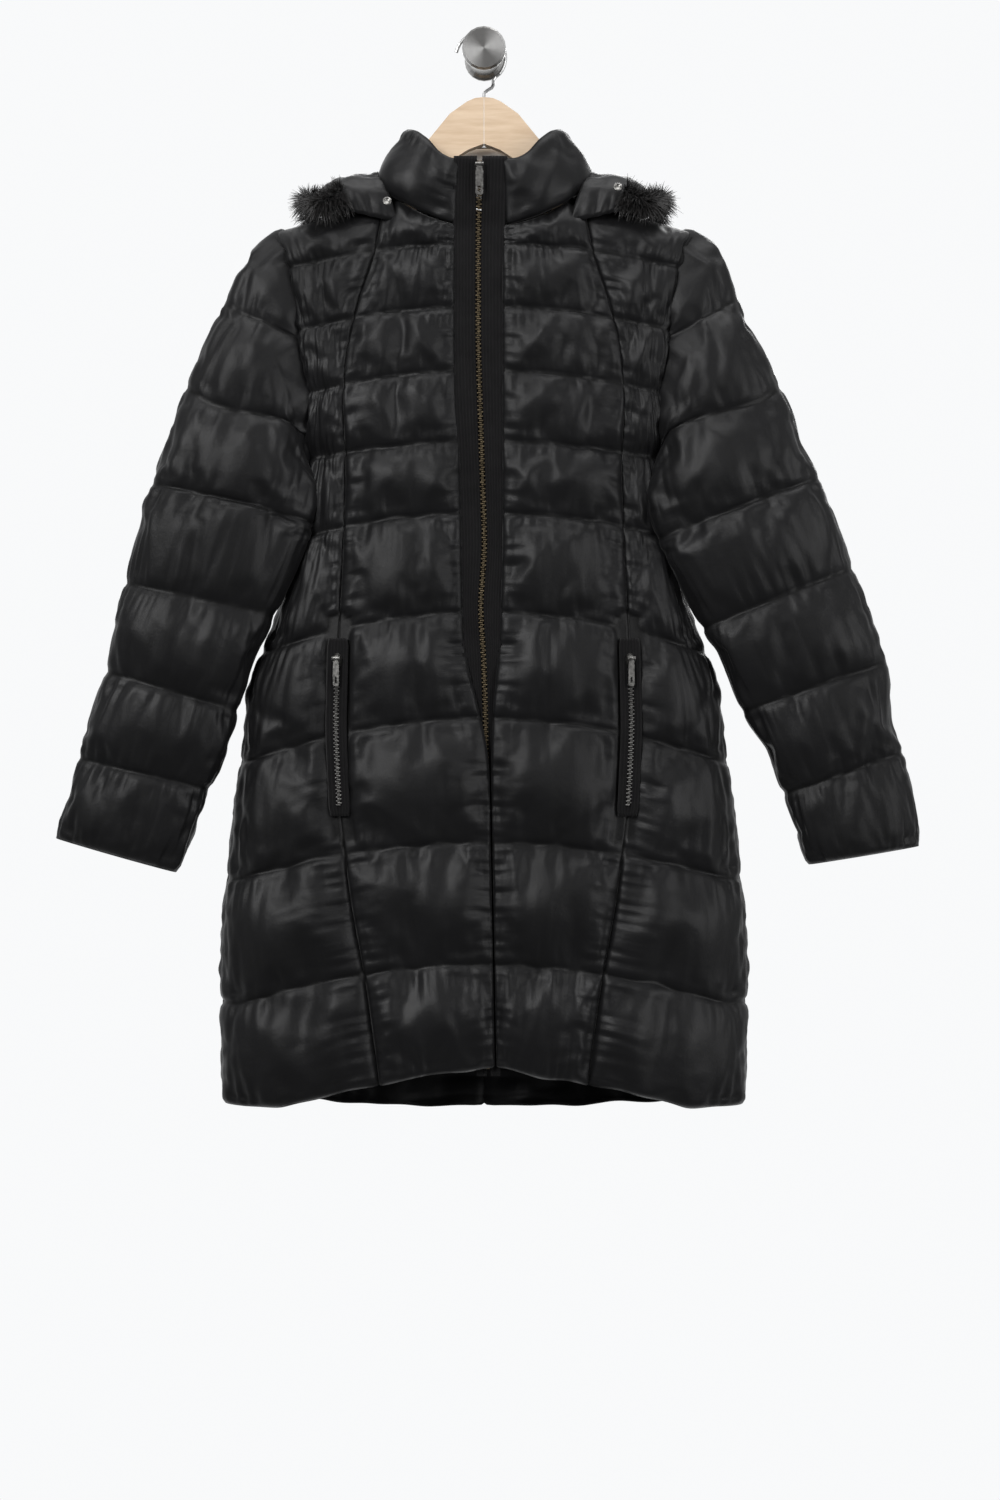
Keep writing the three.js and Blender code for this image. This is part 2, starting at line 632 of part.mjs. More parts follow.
// Hood, hanging empty behind the shoulders
const HOOD = { top: -172, low: -352, half: 128, inner: -30.5, cloth: 4, puff: 12, rows: 16, columns: 12 };
function hood() {
  const inner = [];
  const outer = [];
  for (let r = 0; r <= HOOD.rows; r++) {
    const t = r / HOOD.rows;
    const z = mix(HOOD.top, HOOD.low, t);
    const half = HOOD.half * (1 - 0.97 * t ** 3) ** (1 / 3) * mix(0.86, 1, clamp01(4 * t));
    inner.push([]);
    outer.push([]);
    for (let c = 0; c <= HOOD.columns; c++) {
      const s = (2 * c) / HOOD.columns - 1;
      const puff = swell((s + 1) / 2) * swell(t * 0.94 + 0.03) * (0.6 + 0.4 * swell((t * 3) % 1));
      inner[r].push(vec(half * s, HOOD.inner, z));
      outer[r].push(vec(half * s, HOOD.inner + HOOD.cloth + HOOD.puff * puff, z));
    }
  }
  return wall(inner, outer);
}

// The hood's front corners come over the shoulders and lie beside the collar
const CORNER = {
  near: 85, nearTop: 104, far: 150, lowNear: -181, lowFar: -162, back: -186, rise: 24, thick: 5, puff: 8,
};
function hoodCorner(sign) {
  const rows = 8;
  const columns = 5;
  const inner = [];
  const outer = [];
  for (let r = 0; r <= rows; r++) {
    const angle = (Math.PI * r) / rows;
    inner.push([]);
    outer.push([]);
    for (let c = 0; c <= columns; c++) {
      const t = c / columns;
      const x = mix(mix(CORNER.near, CORNER.nearTop, Math.sin(angle)), CORNER.far, t);
      const low = r < rows / 2 ? mix(CORNER.lowNear, CORNER.lowFar, t) : CORNER.back;
      const puff = CORNER.thick + CORNER.puff * swell(0.1 + 0.8 * t) * swell(0.06 + (0.88 * r) / rows);
      const point = (out) => vec(
        sign * x,
        MID_Y - Math.cos(angle) * ((r < rows / 2 ? 27 : 25) + out),
        low + Math.sin(angle) ** 0.8 * (ridge(x) + CORNER.rise - 5 - low + out),
      );
      inner[r].push(point(0));
      outer[r].push(point(puff));
    }
  }
  return wall(inner, outer);
}

// Fur on the rim of the hood, from one corner round the hood to the other
const FUR = { radius: 14 };
function furTrim() {
  const half = [
    vec(148, -94, -152),
    vec(166, -88, -154),
    vec(175, -62, -146),
    vec(175, -34, -154),
    vec(168, -19, -190),
    vec(156, -17, -250),
    vec(140, -17, -310),
    vec(100, -17, -356),
    vec(50, -17, -372),
  ];
  const points = [...half, vec(0, -17, -376), ...half.map((p) => vec(-p.x, p.y, p.z)).reverse()];
  const path = new THREE.CatmullRomCurve3(points);
  const shape = new THREE.Shape();
  shape.absellipse(0, 0, FUR.radius, FUR.radius, 0, 2 * Math.PI);
  return new THREE.ExtrudeGeometry(shape, {
    steps: 32, extrudePath: path, curveSegments: 3, bevelEnabled: false,
  });
}

// Wooden hanger: two flat arms that meet in the middle
const WOOD_HALF = 7;
function restHeight(x) {
  let z = ridge(x);
  while (innerDepth(x, z, "back") < WOOD_HALF + 0.45) z -= 0.2;
  return z;
}
const ARM_TIP_X = 178;
function hangerArm(sign) {
  const top = [[0.2, -50.5], [9, -51.5], [17, -55], [34, -67], [57, -95], [70, -128], [80, -156]];
  for (let x = 104; x <= ARM_TIP_X; x += 15) top.push([x, restHeight(x)]);
  const low = [[172, -214], [140, -212], [104, -200], [84, -184], [60, -150], [36, -116], [16, -103], [0.2, -97]];
  const shape = new THREE.Shape([...top, ...low].map(([x, z]) => new THREE.Vector2(sign * x, z)));
  return new THREE.ExtrudeGeometry(shape, { depth: 2 * WOOD_HALF, bevelEnabled: false })
    .rotateX(Math.PI / 2).translate(0, MID_Y + WOOD_HALF, 0);
}

// Steel hook: straight up out of the wood, then round over the knob's neck
const HOOK = { wire: 1.75, y: -46, x: -3.5, z: -6.5, radius: 25, from: -58, to: 168 };
function hangerHook() {
  const points = [vec(0, MID_Y, -50), vec(0, MID_Y, -46), vec(3, -56, -42), vec(9, -49, -36)];
  const steps = 12;
  for (let i = 0; i <= steps; i++) {
    const angle = THREE.MathUtils.degToRad(mix(HOOK.from, HOOK.to, i / steps));
    points.push(vec(HOOK.x + HOOK.radius * Math.cos(angle), HOOK.y, HOOK.z + HOOK.radius * Math.sin(angle)));
  }
  const shape = new THREE.Shape();
  shape.absarc(0, 0, HOOK.wire, 0, 2 * Math.PI);
  return new THREE.ExtrudeGeometry(shape, {
    steps: 27, extrudePath: new THREE.CatmullRomCurve3(points), curveSegments: 4, bevelEnabled: false,
  });
}

// Wall knob: base on the wall, neck that the hook sits on, round front disc
const KNOB = { base: 20, neck: 15.5, disc: 22, project: 62 };
function wallKnob() {
  const { base, neck, disc, project } = KNOB;
  const profile = [
    [0, 0], [base, 0], [base, 3], [base - 2, 5], [neck, 7], [neck, project - 10],
    [disc - 1.5, project - 8], [disc, project - 6], [disc, project - 2], [disc - 2, project], [0, project],
  ].map(([r, y]) => new THREE.Vector2(r, y));
  return new THREE.LatheGeometry(profile, 20).rotateX(Math.PI);
}

// Assembly
const group = new THREE.Group();
function add(name, geometry, colour, roughness = 0.6, metalness = 0) {
  const material = new THREE.MeshStandardMaterial({ color: colour, roughness, metalness });
  const mesh = new THREE.Mesh(geometry, material);
  mesh.name = name;
  group.add(mesh);
  return mesh;
}

const SHELL = 0x2b2b2d;
const TAPE = 0x1e1d1f;
const STEEL = 0x9a9a98;
const BRASS = 0x6b5a3a;
const WOOD = 0xdcc8b0;
const FUR_DARK = 0x141313;
const SATIN = 0x8f8a84;
for (const [name, sign] of [["left", -1], ["right", 1]]) {
  add("front_centre_" + name, frontCentre(sign), SHELL);
  add("front_side_" + name, frontSide(sign), SHELL);
  add("back_" + name, backHalf(sign), SHELL);
}
const named = (name) => group.getObjectByName(name).geometry;
const shoulders = (name) => ["front_centre_", "front_side_", "back_"].map((part) => named(part + name));
add("sleeve_left", clearOf(sleeve(SLEEVE_LEFT, SLEEVE_LEFT_SEAMS), named("front_side_left"), named("back_left")),
  SHELL);
add("sleeve_right",
  clearOf(sleeve(SLEEVE_RIGHT, SLEEVE_RIGHT_SEAMS), named("front_side_right"), named("back_right")), SHELL);
for (const [name, sign] of [["left", -1], ["right", 1]]) add("zip_band_" + name, zipBand(sign), TAPE, 0.9);
add("collar", clearOf(collar(), ...["front_centre_left", "front_centre_right", "back_left", "back_right",
  "zip_band_left", "zip_band_right"].map(named)), SHELL);
add("neck_patch", neckPatch(), SATIN, 0.45);
add("hood", clearOf(hood(), named("back_left"), named("back_right")), SHELL);
for (const [name, sign] of [["left", -1], ["right", 1]]) {
  add("hood_corner_" + name,
    clearOf(hoodCorner(sign), ...shoulders(name), named("collar"), named("hood"), named("sleeve_" + name)), SHELL);
}
add("fur_trim", clearOf(furTrim(), ...["front_side_left", "front_side_right", "back_left", "back_right", "hood",
  "sleeve_left", "sleeve_right", "hood_corner_left", "hood_corner_right"].map(named)), FUR_DARK, 0.95);
add("zip_chain", zipChain(), BRASS, 0.4, 0.9);
add("hanger_arm_left", clearOf(hangerArm(-1), ...shoulders("left")), WOOD, 0.55);
add("hanger_arm_right", clearOf(hangerArm(1), ...shoulders("right")), WOOD, 0.55);
add("hanger_hook", hangerHook(), STEEL, 0.25, 1);
add("wall_knob", wallKnob(), STEEL, 0.3, 1);

// Each zip's slider stands on its chain, and the pull hangs from the slider's pin
const SLIDERS = [
  { name: "zip", width: 7.5, length: 30, at: zipPoint(zipMiddle(-127), -127, BAND + 0.5), turn: 0 },
  { name: "pocket_left", width: 6, length: 27 },
  { name: "pocket_right", width: 6, length: 27 },
];
for (const [name, sign] of [["left", -1], ["right", 1]]) {
  const row = SLIDERS.find((s) => s.name === "pocket_" + name);
  const x = sign * princessX(POCKET_SLIDER_Z);
  row.at = bodyPoint(x, POCKET_SLIDER_Z, "front", POCKET.over + 0.6);
  const out = bodyPoint(x, POCKET_SLIDER_Z, "front", 1).sub(bodyPoint(x, POCKET_SLIDER_Z, "front", 0));
  row.turn = Math.atan2(out.x, -out.y);
  add("pocket_tape_" + name,
    pocketStrip(sign, POCKET.tapeHalf, POCKET_TOP_Z, POCKET_LOW_Z, POCKET.under, POCKET.over), TAPE, 0.9);
  add("pocket_chain_" + name,
    pocketStrip(sign, POCKET.chainHalf, POCKET_SLIDER_Z - 9, POCKET_LOW_Z + 10, POCKET.over + 0.3, POCKET.chain),
    STEEL, 0.4, 0.9);
}
for (const { name, width, length, at, turn } of SLIDERS) {
  const place = (geometry) => geometry.rotateZ(turn).translate(at.x, at.y, at.z);
  add(name + "_slider", place(slider()), STEEL, 0.3, 1);
  add(name + "_pull", place(pullTab(width, length)), STEEL, 0.3, 1);
}

export default group;
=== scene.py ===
# %% [markdown]
# A long puffer coat hangs on a wooden hanger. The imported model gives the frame: where every piece
# is and how big it is. This lesson dresses it. Each quilted panel is made again as a fine sheet,
# pinned along its quilt seams and blown up by cloth simulation, because the small gathers beside
# a seam come from cloth that has too much width for its length, and that is hard to draw by hand.

# %% Frame
import json
import math
import bmesh
import bpy
import numpy as np
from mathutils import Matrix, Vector, noise

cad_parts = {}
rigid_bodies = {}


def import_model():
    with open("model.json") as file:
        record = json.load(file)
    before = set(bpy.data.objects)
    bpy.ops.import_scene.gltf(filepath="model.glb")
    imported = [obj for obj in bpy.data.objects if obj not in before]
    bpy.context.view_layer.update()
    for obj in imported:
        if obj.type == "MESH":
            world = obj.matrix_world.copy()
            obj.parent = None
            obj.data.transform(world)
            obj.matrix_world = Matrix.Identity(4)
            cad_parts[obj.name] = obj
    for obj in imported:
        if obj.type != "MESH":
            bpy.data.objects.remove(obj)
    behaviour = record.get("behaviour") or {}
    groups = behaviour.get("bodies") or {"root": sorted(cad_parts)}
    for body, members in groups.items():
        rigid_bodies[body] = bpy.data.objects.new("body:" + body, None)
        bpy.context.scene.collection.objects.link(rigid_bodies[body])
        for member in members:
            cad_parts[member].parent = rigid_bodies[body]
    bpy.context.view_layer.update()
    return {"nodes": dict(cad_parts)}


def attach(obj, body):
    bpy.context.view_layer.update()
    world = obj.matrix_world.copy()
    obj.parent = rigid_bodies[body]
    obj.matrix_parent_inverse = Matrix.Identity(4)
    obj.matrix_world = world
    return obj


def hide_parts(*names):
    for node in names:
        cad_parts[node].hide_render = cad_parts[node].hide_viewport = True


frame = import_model()
MM = 0.001
print("nodes:", len(frame["nodes"]))

# %% [markdown]
# The coat's sizes come first, in millimetres, in tables with a row for each height. The origin is
# at the wall, behind the knob, so heights are negative and the front of the coat has a low y.

# %% Sizes
MID_Y = -60
CLOTH = 3
SEAM = 0.25
ROUND = 2.6
SHOULDER_FALL = 0.3
NECK_X = 90
NECK_SIDE_Z = -150
NECK_BACK_Z = -158
NECK_FRONT_Z = -184
SHOULDER_CURVE = 46
ARMHOLE_TOP_Z = -183
ARMHOLE_LOW_Z = -404
ARMHOLE_DEPTH = 30
HEM_BACK_Z = -1062
HEM_CENTRE_Z = -1014
HEM_SIDE_Z = -1054
POCKET_TOP_Z = -592
POCKET_LOW_Z = -767
POCKET_FLAT = 13
PLAIN_END = 28
# height, half width at the seams, depth to the front and to the back
BODY = [
    (-140, 222, 30, 17), (-183, 208, 34, 18), (-207, 194, 36, 17), (-232, 186, 38, 16),
    (-262, 180, 38, 14), (-292, 177, 40, 14), (-322, 173, 41, 14), (-352, 170, 42, 15),
    (-404, 172, 42, 17), (-420, 172, 42, 18), (-432, 171, 42, 20), (-452, 170, 42, 22),
    (-464, 171, 42, 24), (-478, 174, 43, 26), (-502, 180, 44, 28), (-550, 194, 46, 31),
    (-580, 205, 48, 32), (-607, 216, 49, 33), (-640, 226, 51, 34), (-722, 237, 54, 34),
    (-802, 247, 57, 34), (-882, 254, 60, 34), (-937, 255, 62, 34), (-987, 253, 63, 34),
    (-1070, 254, 64, 34),
]
HALF, FRONT, BACK = 1, 2, 3
# height, distance of the shoulder-princess seam from the middle
PRINCESS = [
    (-140, 97), (-167, 100), (-214, 108), (-252, 122), (-300, 134), (-352, 139), (-422, 136),
    (-512, 139), (-592, 143), (-682, 145), (-767, 141), (-852, 130), (-932, 115), (-997, 106),
    (-1060, 98),
]
# height, middle of the zip, left and right edge of its bands
ZIP_LINE = [
    (-110, -4, -27, 21), (-202, -5.5, -28, 18), (-300, -5.5, -28, 18), (-352, -4, -27, 18),
    (-413, -2, -23, 18), (-502, 1, -21, 18), (-562, -3.5, -20, 16), (-612, 0, -18, 14),
    (-682, 2, -13, 13), (-752, 2, -8, 12), (-852, 4, -5, 13), (-1060, 5, -4, 14),
]
MIDDLE = 1
BAND_EDGE = {-1: 2, 1: 3}
# height of each quilt seam at the middle of the front, and at the side
QUILT_SEAMS = [
    (-201, -227), (-264, -292), (-328, -356), (-398, -418), (-468, -496),
    (-566, -600), (-671, -702), (-793, -818), (-912, -940),
]
# outer edge x, z, inner edge x, z, depth, middle y of each sleeve section
SLEEVES = {
    -1: [
        (-212, -179, -180, -404, 34, -60), (-234, -205, -174, -420, 36, -66),
        (-252, -242, -168, -432, 38, -71), (-272, -287, -165, -442, 38, -76),
        (-292, -332, -165, -452, 37, -80), (-309, -382, -166, -464, 36, -83),
        (-324, -422, -169, -478, 36, -85), (-338, -464, -178, -502, 35, -86),
        (-355, -537, -212, -580, 34, -86), (-366, -572, -226, -612, 34, -85),
        (-374, -624, -244, -663, 33, -84), (-392, -672, -256, -705, 32, -82),
        (-402, -709, -276, -749, 30, -80), (-414, -749, -287, -780, 29, -79),
        (-427, -789, -304, -824, 28, -78),
    ],
    1: [
        (212, -179, 178, -404, 34, -60), (231, -200, 171, -420, 36, -66),
        (246, -234, 165, -432, 38, -71), (263, -277, 163, -442, 38, -76),
        (282, -315, 163, -452, 37, -80), (301, -357, 164, -464, 36, -83),
        (316, -397, 166, -474, 36, -85), (331, -427, 172, -494, 35, -86),
        (346, -467, 184, -520, 34, -86), (366, -522, 217, -582, 34, -85),
        (383, -567, 231, -607, 34, -84), (401, -614, 256, -664, 33, -82),
        (406, -672, 281, -704, 32, -80), (419, -712, 299, -749, 30, -79),
        (428, -757, 311, -784, 29, -78), (434, -797, 321, -816, 28, -78),
    ],
}
# where each quilt seam of a sleeve crosses the outer and the inner edge, in rows of its table,
# and how late it bends towards the inner one
SLEEVE_SEAMS = {
    -1: [
        (0, 0, 1), (2.33, -2.6, 1.23), (4.2, -0.16, 2.2), (6.4, 6.0, 1),
        (8, 7.85, 1), (10, 10, 1), (12, 11.8, 1), (14, 14, 1),
    ],
    1: [
        (0, 0, 1), (2.4, -2.66, 1.23), (4.64, 0.57, 1.9), (7.15, 7.0, 1),
        (9, 9, 1), (11, 11, 1), (12.8, 12.9, 1), (15, 15, 1),
    ],
}

# %% Reading the tables
def mix(a, b, t):
    return a + (b - a) * t

def clamp01(t):
    return min(1.0, max(0.0, t))

def smooth(t):
    t = clamp01(t)
    return t * t * (3 - 2 * t)

def at_height(table, column, z):
    i = 0
    while i < len(table) - 2 and z < table[i + 1][0]:
        i += 1
    t = clamp01((z - table[i][0]) / (table[i + 1][0] - table[i][0]))
    return mix(table[i][column], table[i + 1][column], t)

def at_row(table, column, row):
    i = min(len(table) - 2, int(row))
    return mix(table[i][column], table[i + 1][column], row - i)

def soft(reader, table, column, place, spread):
    # the mean of three readings rounds off the table's corners
    return (reader(table, column, place - spread) + 2 * reader(table, column, place)
            + reader(table, column, place + spread)) / 4

def body_size(column, z):
    return soft(at_height, BODY, column, z, 12)

def princess_x(z):
    return soft(at_height, PRINCESS, 1, z, 16)

def ridge(x):
    return NECK_SIDE_Z - SHOULDER_FALL * (abs(x) - NECK_X)

def top_edge(x, side):
    if abs(x) >= NECK_X:
        return ridge(x)
    if side == FRONT:
        return mix(NECK_FRONT_Z, NECK_SIDE_Z, (abs(x) / NECK_X) ** 2.4)
    return mix(NECK_BACK_Z, NECK_SIDE_Z, (abs(x) / NECK_X) ** 6)

def armhole_depth(z):
    t = (ARMHOLE_TOP_Z - z) / (ARMHOLE_TOP_Z - ARMHOLE_LOW_Z)
    return ARMHOLE_DEPTH * math.sin(math.pi * t) ** 0.5 if 0 < t < 1 else 0

def inner_depth(x, z, side):
    full = body_size(side, z)
    arm = min(armhole_depth(z), full)
    edge = clamp01(1 - min(1, abs(x) / body_size(HALF, z)) ** ROUND) ** (1 / ROUND)
    down = clamp01((ridge(x) - z) / SHOULDER_CURVE)
    return SEAM + math.sqrt(1 - (1 - down) ** 2) * (arm + (full - arm) * edge)

def body_out(x, z, side):
    # the direction straight out of the coat's wall, in the level plane
    reach = min(1, abs(x) / body_size(HALF, z))
    across = reach ** (ROUND - 1) / body_size(HALF, z)
    deep = clamp01(1 - reach ** ROUND) ** ((ROUND - 1) / ROUND) / body_size(side, z)
    length = math.hypot(across, deep)
    return Vector((math.copysign(across, x) / length, (-1 if side == FRONT else 1) * deep / length, 0))

def body_point(x, z, side, out):
    away = -1 if side == FRONT else 1
    return (Vector((x, MID_Y + away * inner_depth(x, z, side), z)) + body_out(x, z, side) * out) * MM

def seam_heights(x, side):
    spread = min(1.2, abs(x) / 200) ** 2
    heights = [mix(m if side == FRONT else s, s, spread) for m, s in QUILT_SEAMS]
    if side == FRONT:
        hem = mix(HEM_CENTRE_Z, HEM_SIDE_Z, min(1, abs(x) / 200) ** 1.3)
    else:
        hem = mix(HEM_BACK_Z, HEM_SIDE_Z, spread)
    uneven = [1.6 * noise.noise(Vector((x / 26, 9 * i, side))) for i in range(len(heights))]
    hem += 4 * noise.noise(Vector((x / 38, 77, side)))
    return [top_edge(x, side)] + [h + off for h, off in zip(heights, uneven)] + [hem]

def swell(t):
    return math.sin(math.pi * clamp01(t)) ** 0.5

# %% [markdown]
# Cloth that hangs from two shoulders has long soft folds besides its quilting. They are listed as shallow
# troughs: where each starts and ends, how wide it is and how deep.

# %% Drag folds
# x at the top and bottom, height of the top and bottom, half width, depth
FRONT_FOLDS = [
    (-88, -80, -196, -400, 10, 4.0), (112, 104, -200, -410, 10, 4.0), (-160, -150, -205, -330, 9, 5.0),
    (158, 150, -215, -345, 9, 5.0), (-176, -150, -250, -440, 8, 4.5), (172, 140, -260, -450, 8, 4.5),
    (-125, -112, -330, -520, 12, 3.0), (128, 118, -320, -540, 12, 3.0), (-60, -66, -480, -700, 14, 2.5),
    (70, 62, -500, -720, 14, 2.5), (-190, -205, -620, -860, 13, 3.5), (196, 206, -640, -880, 13, 3.5),
    (-70, -80, -800, -1010, 16, 3.5), (82, 90, -820, -1010, 16, 3.5), (-170, -182, -860, -1040, 15, 4.0),
    (176, 170, -880, -1040, 15, 4.0), (-38, -42, -700, -900, 12, 2.5), (44, 38, -720, -930, 12, 2.5),
]
BACK_FOLDS = [
    (-150, -140, -210, -420, 12, 3.5), (152, 138, -215, -430, 12, 3.5), (-70, -60, -420, -640, 16, 3.0),
    (78, 66, -440, -650, 16, 3.0), (-120, -135, -640, -900, 16, 3.5), (112, 130, -660, -920, 16, 3.5),
    (-30, -36, -760, -1040, 18, 3.0), (52, 60, -800, -1040, 18, 3.0), (-200, -210, -700, -1000, 14, 3.5),
    (196, 204, -720, -1010, 14, 3.5),
]

def fold_depth(folds, x, z):
    deep = 0
    for top_x, low_x, top_z, low_z, wide, depth in folds:
        t = (top_z - z) / (top_z - low_z)
        if 0 < t < 1:
            middle = mix(top_x, low_x, t) + 4 * math.sin(5 * t + top_x)
            deep += depth * math.sin(math.pi * t) ** 0.7 * math.exp(-(((x - middle) / wide) ** 2))
    return deep

# %% [markdown]
# A grid operator gives each panel's sheet, and a function moves every point to its place on the
# coat. The same function says how far the point is from the nearest seam, which later tells the
# simulation what to pin, and the finish where the seams run, to paint shade into their grooves.

# %% Sheets
GRID = 5.6
SEAM_DEEP = 1.2
START_PUFF = 6.5
padded = []

def make_sheet(name, across, up, place, ring=False):
    # place(u, v) gives the point at seam level, the way out, how strongly it puffs and whether it is pinned
    bm = bmesh.new()
    bmesh.ops.create_grid(bm, x_segments=across, y_segments=up, size=0.5)
    rows = []
    for v in bm.verts:
        u, w = clamp01(v.co.x + 0.5), clamp01(v.co.y + 0.5)
        base, out, puff, pinned = place(u, w)
        v.co = base + out * (START_PUFF * puff * MM)
        round_it = across * GRID / (2 * math.pi)
        turn = 2 * math.pi * u
        flat = (round_it * math.cos(turn), round_it * math.sin(turn)) if ring else (u * across * GRID, 0)
        rows.append((base, out, puff, pinned, (*flat, w * up * GRID)))
    mesh = bpy.data.meshes.new(name)
    bm.to_mesh(mesh)
    bm.free()
    for label in ("base", "out", "flat"):
        mesh.attributes.new(label, "FLOAT_VECTOR", "POINT")
    for label in ("puff", "pinned"):
        mesh.attributes.new(label, "FLOAT", "POINT")
    mesh.attributes["base"].data.foreach_set("vector", [c for r in rows for c in r[0]])
    mesh.attributes["out"].data.foreach_set("vector", [c for r in rows for c in r[1]])
    mesh.attributes["flat"].data.foreach_set("vector", [c for r in rows for c in r[4]])
    mesh.attributes["puff"].data.foreach_set("value", [r[2] for r in rows])
    mesh.attributes["pinned"].data.foreach_set("value", [float(r[3]) for r in rows])
    bm = bmesh.new()
    bm.from_mesh(mesh)
    if ring:
        bmesh.ops.remove_doubles(bm, verts=bm.verts, dist=0.00005)
    face_out(bm)
    bm.to_mesh(mesh)
    bm.free()
    obj = bpy.data.objects.new(name, mesh)
    bpy.context.scene.collection.objects.link(obj)
    padded.append(obj)
    return obj

def face_out(bm):
    # the sheet is turned over if most of it looks into the coat
    layer = bm.verts.layers.float_vector["out"]
    score = sum(f.normal.dot(Vector(f.verts[0][layer])) for f in bm.faces)
    if score < 0:
        bmesh.ops.reverse_faces(bm, faces=bm.faces)

def rows_of(lengths):
    return [max(6, round(length / GRID)) for length in lengths]

def band_at(counts, v):
    # turns 0..1 up the grid into a band's number and the place in it
    row = v * sum(counts)
    band = 0
    while band < len(counts) - 1 and row >= counts[band] - 1e-6:
        row -= counts[band]
        band += 1
    return band, clamp01(row / counts[band])

BODY_ROWS = rows_of([abs(b - a) for a, b in zip(seam_heights(140, FRONT)[:-1], seam_heights(140, FRONT)[1:])])
print("rows down the body:", sum(BODY_ROWS))

def in_pocket(z):
    return POCKET_LOW_Z - PLAIN_END < z < POCKET_TOP_Z + PLAIN_END

SIDE_FULL = 5

def body_panel(name, side, across, x_at, plain):
    # plain(x, z) is 0 on a flat strip and 1 where the padding may rise
    folds = FRONT_FOLDS if side == FRONT else BACK_FOLDS
    def place(u, v):
        band, t = band_at(BODY_ROWS, v)
        x, z = 0, -600
        for _ in range(4):
            x = x_at(u, z)
            heights = seam_heights(x, side)
            z = mix(heights[band], heights[band + 1], t)
        rise = plain(u, x, z)
        deep = fold_depth(folds, x, z)
        at_side = (abs(x) / body_size(HALF, z)) ** 10
        level = SEAM_DEEP + (1 - rise) * 0.6 - deep * min(1, rise + 0.3) + SIDE_FULL * clamp01(at_side)
        base = body_point(x, z, side, level)
        on_seam = min(t, 1 - t) * BODY_ROWS[band] < 0.5 or u < 1e-4 or u > 1 - 1e-4
        puff = 0.9 * swell(t) * rise * (1 - 0.4 * clamp01(at_side))
        return base, body_out(x, z, side), puff, on_seam or rise < 0.05
    return make_sheet(name, across, sum(BODY_ROWS), place)

# %% Front and back panels
OVERLAP = 0.6  # neighbours run a little way under each other, so that the seam stays shut

# below this height the puffed edges meet in front of the zip: height, and x where they meet
MEETING = [(-620, 3), (-700, 6), (-1080, 13)]

def meeting_x(z):
    return float(np.interp(-z, [-r[0] for r in MEETING], [r[1] for r in MEETING]))

def front_centre(name, sign):
    def x_at(u, z):
        start = soft(at_height, ZIP_LINE, BAND_EDGE[sign], z, 14)
        start = mix(start, meeting_x(z) + sign * 0.8, smooth((-590 - z) / 140))
        return mix(start, sign * (princess_x(z) + OVERLAP), u)
    def plain(u, x, z):
        near_seam = princess_x(z) - abs(x)
        near_zip = abs(x - x_at(0, z))
        rise = min(1, near_zip / 14 + 0.2 * smooth((-590 - z) / 140)) ** 0.5
        strip = smooth((near_seam - POCKET_FLAT + 1) / 8) if in_pocket(z) else clamp01(near_seam / 12) ** 0.5
        return rise * strip
    return body_panel(name, FRONT, round(118 / GRID), x_at, plain)

def front_side(name, sign):
    def x_at(u, z):
        half = body_size(HALF, z)
        start = math.acos(min(1, (princess_x(z) - OVERLAP) / half) ** (ROUND / 2))
        return sign * half * math.cos(mix(start, 0, u)) ** (2 / ROUND)
    def plain(u, x, z):
        near_seam = abs(x) - princess_x(z)
        strip = smooth((near_seam - POCKET_FLAT + 1) / 8) if in_pocket(z) else clamp01(near_seam / 12) ** 0.5
        return strip * min(1, (1 - u) * 8 + 0.25) ** 0.5
    return body_panel(name, FRONT, round(125 / GRID), x_at, plain)

def back_half(name, sign):
    def x_at(u, z):
        x = body_size(HALF, z) * math.cos(mix(math.pi / 2, 0, u)) ** (2 / ROUND)
        return sign * max(-OVERLAP, x - OVERLAP * (1 - u))
    def plain(u, x, z):
        return min(1, abs(x) / 12) ** 0.5 * min(1, (1 - u) * 12 + 0.25) ** 0.5 * 0.8
    return body_panel(name, BACK, round(230 / GRID), x_at, plain)

# %% [markdown]
# A sleeve is a flattened tube that swings forward of the body. Its sheet is a grid whose two
# long edges are merged, so the cloth runs on round the arm with no seam to see.

# %% Sleeves
SLEEVE_SINK = 6  # how far the seams lie inside the sleeve's outline
ARMHOLE_BOW = 20
ARMHOLE_TUCK = 7  # the sleeve's top runs a little way in under the body
EDGE_FULL = 7.5  # a flat sleeve is full at its two edges, so its seams hardly notch them

def sleeve_point(sign, row, angle, out):
    table = SLEEVES[sign]
    row_in = max(0.0, min(len(table) - 1.0, row))
    ox, oz, ix, iz, deep, middle_y = (at_row(table, column, row_in) for column in range(6))
    outer = Vector((ox, 0, oz))
    inner = Vector((ix, 0, iz))
    centre = (outer + inner) / 2
    across = (outer - inner) / 2
    width = across.length - CLOTH - SLEEVE_SINK
    depth = deep - CLOTH - SLEEVE_SINK
    c, s = math.cos(angle), math.sin(angle)
    point = centre + across.normalized() * ((width + out) * c)
    point.y = middle_y - (depth + out) * math.copysign(abs(s) ** 0.85, s)
    point.x -= sign * clamp01(1 - row) * (ARMHOLE_BOW * math.sqrt(max(0, 1 - c ** 6)) + ARMHOLE_TUCK)
    return point

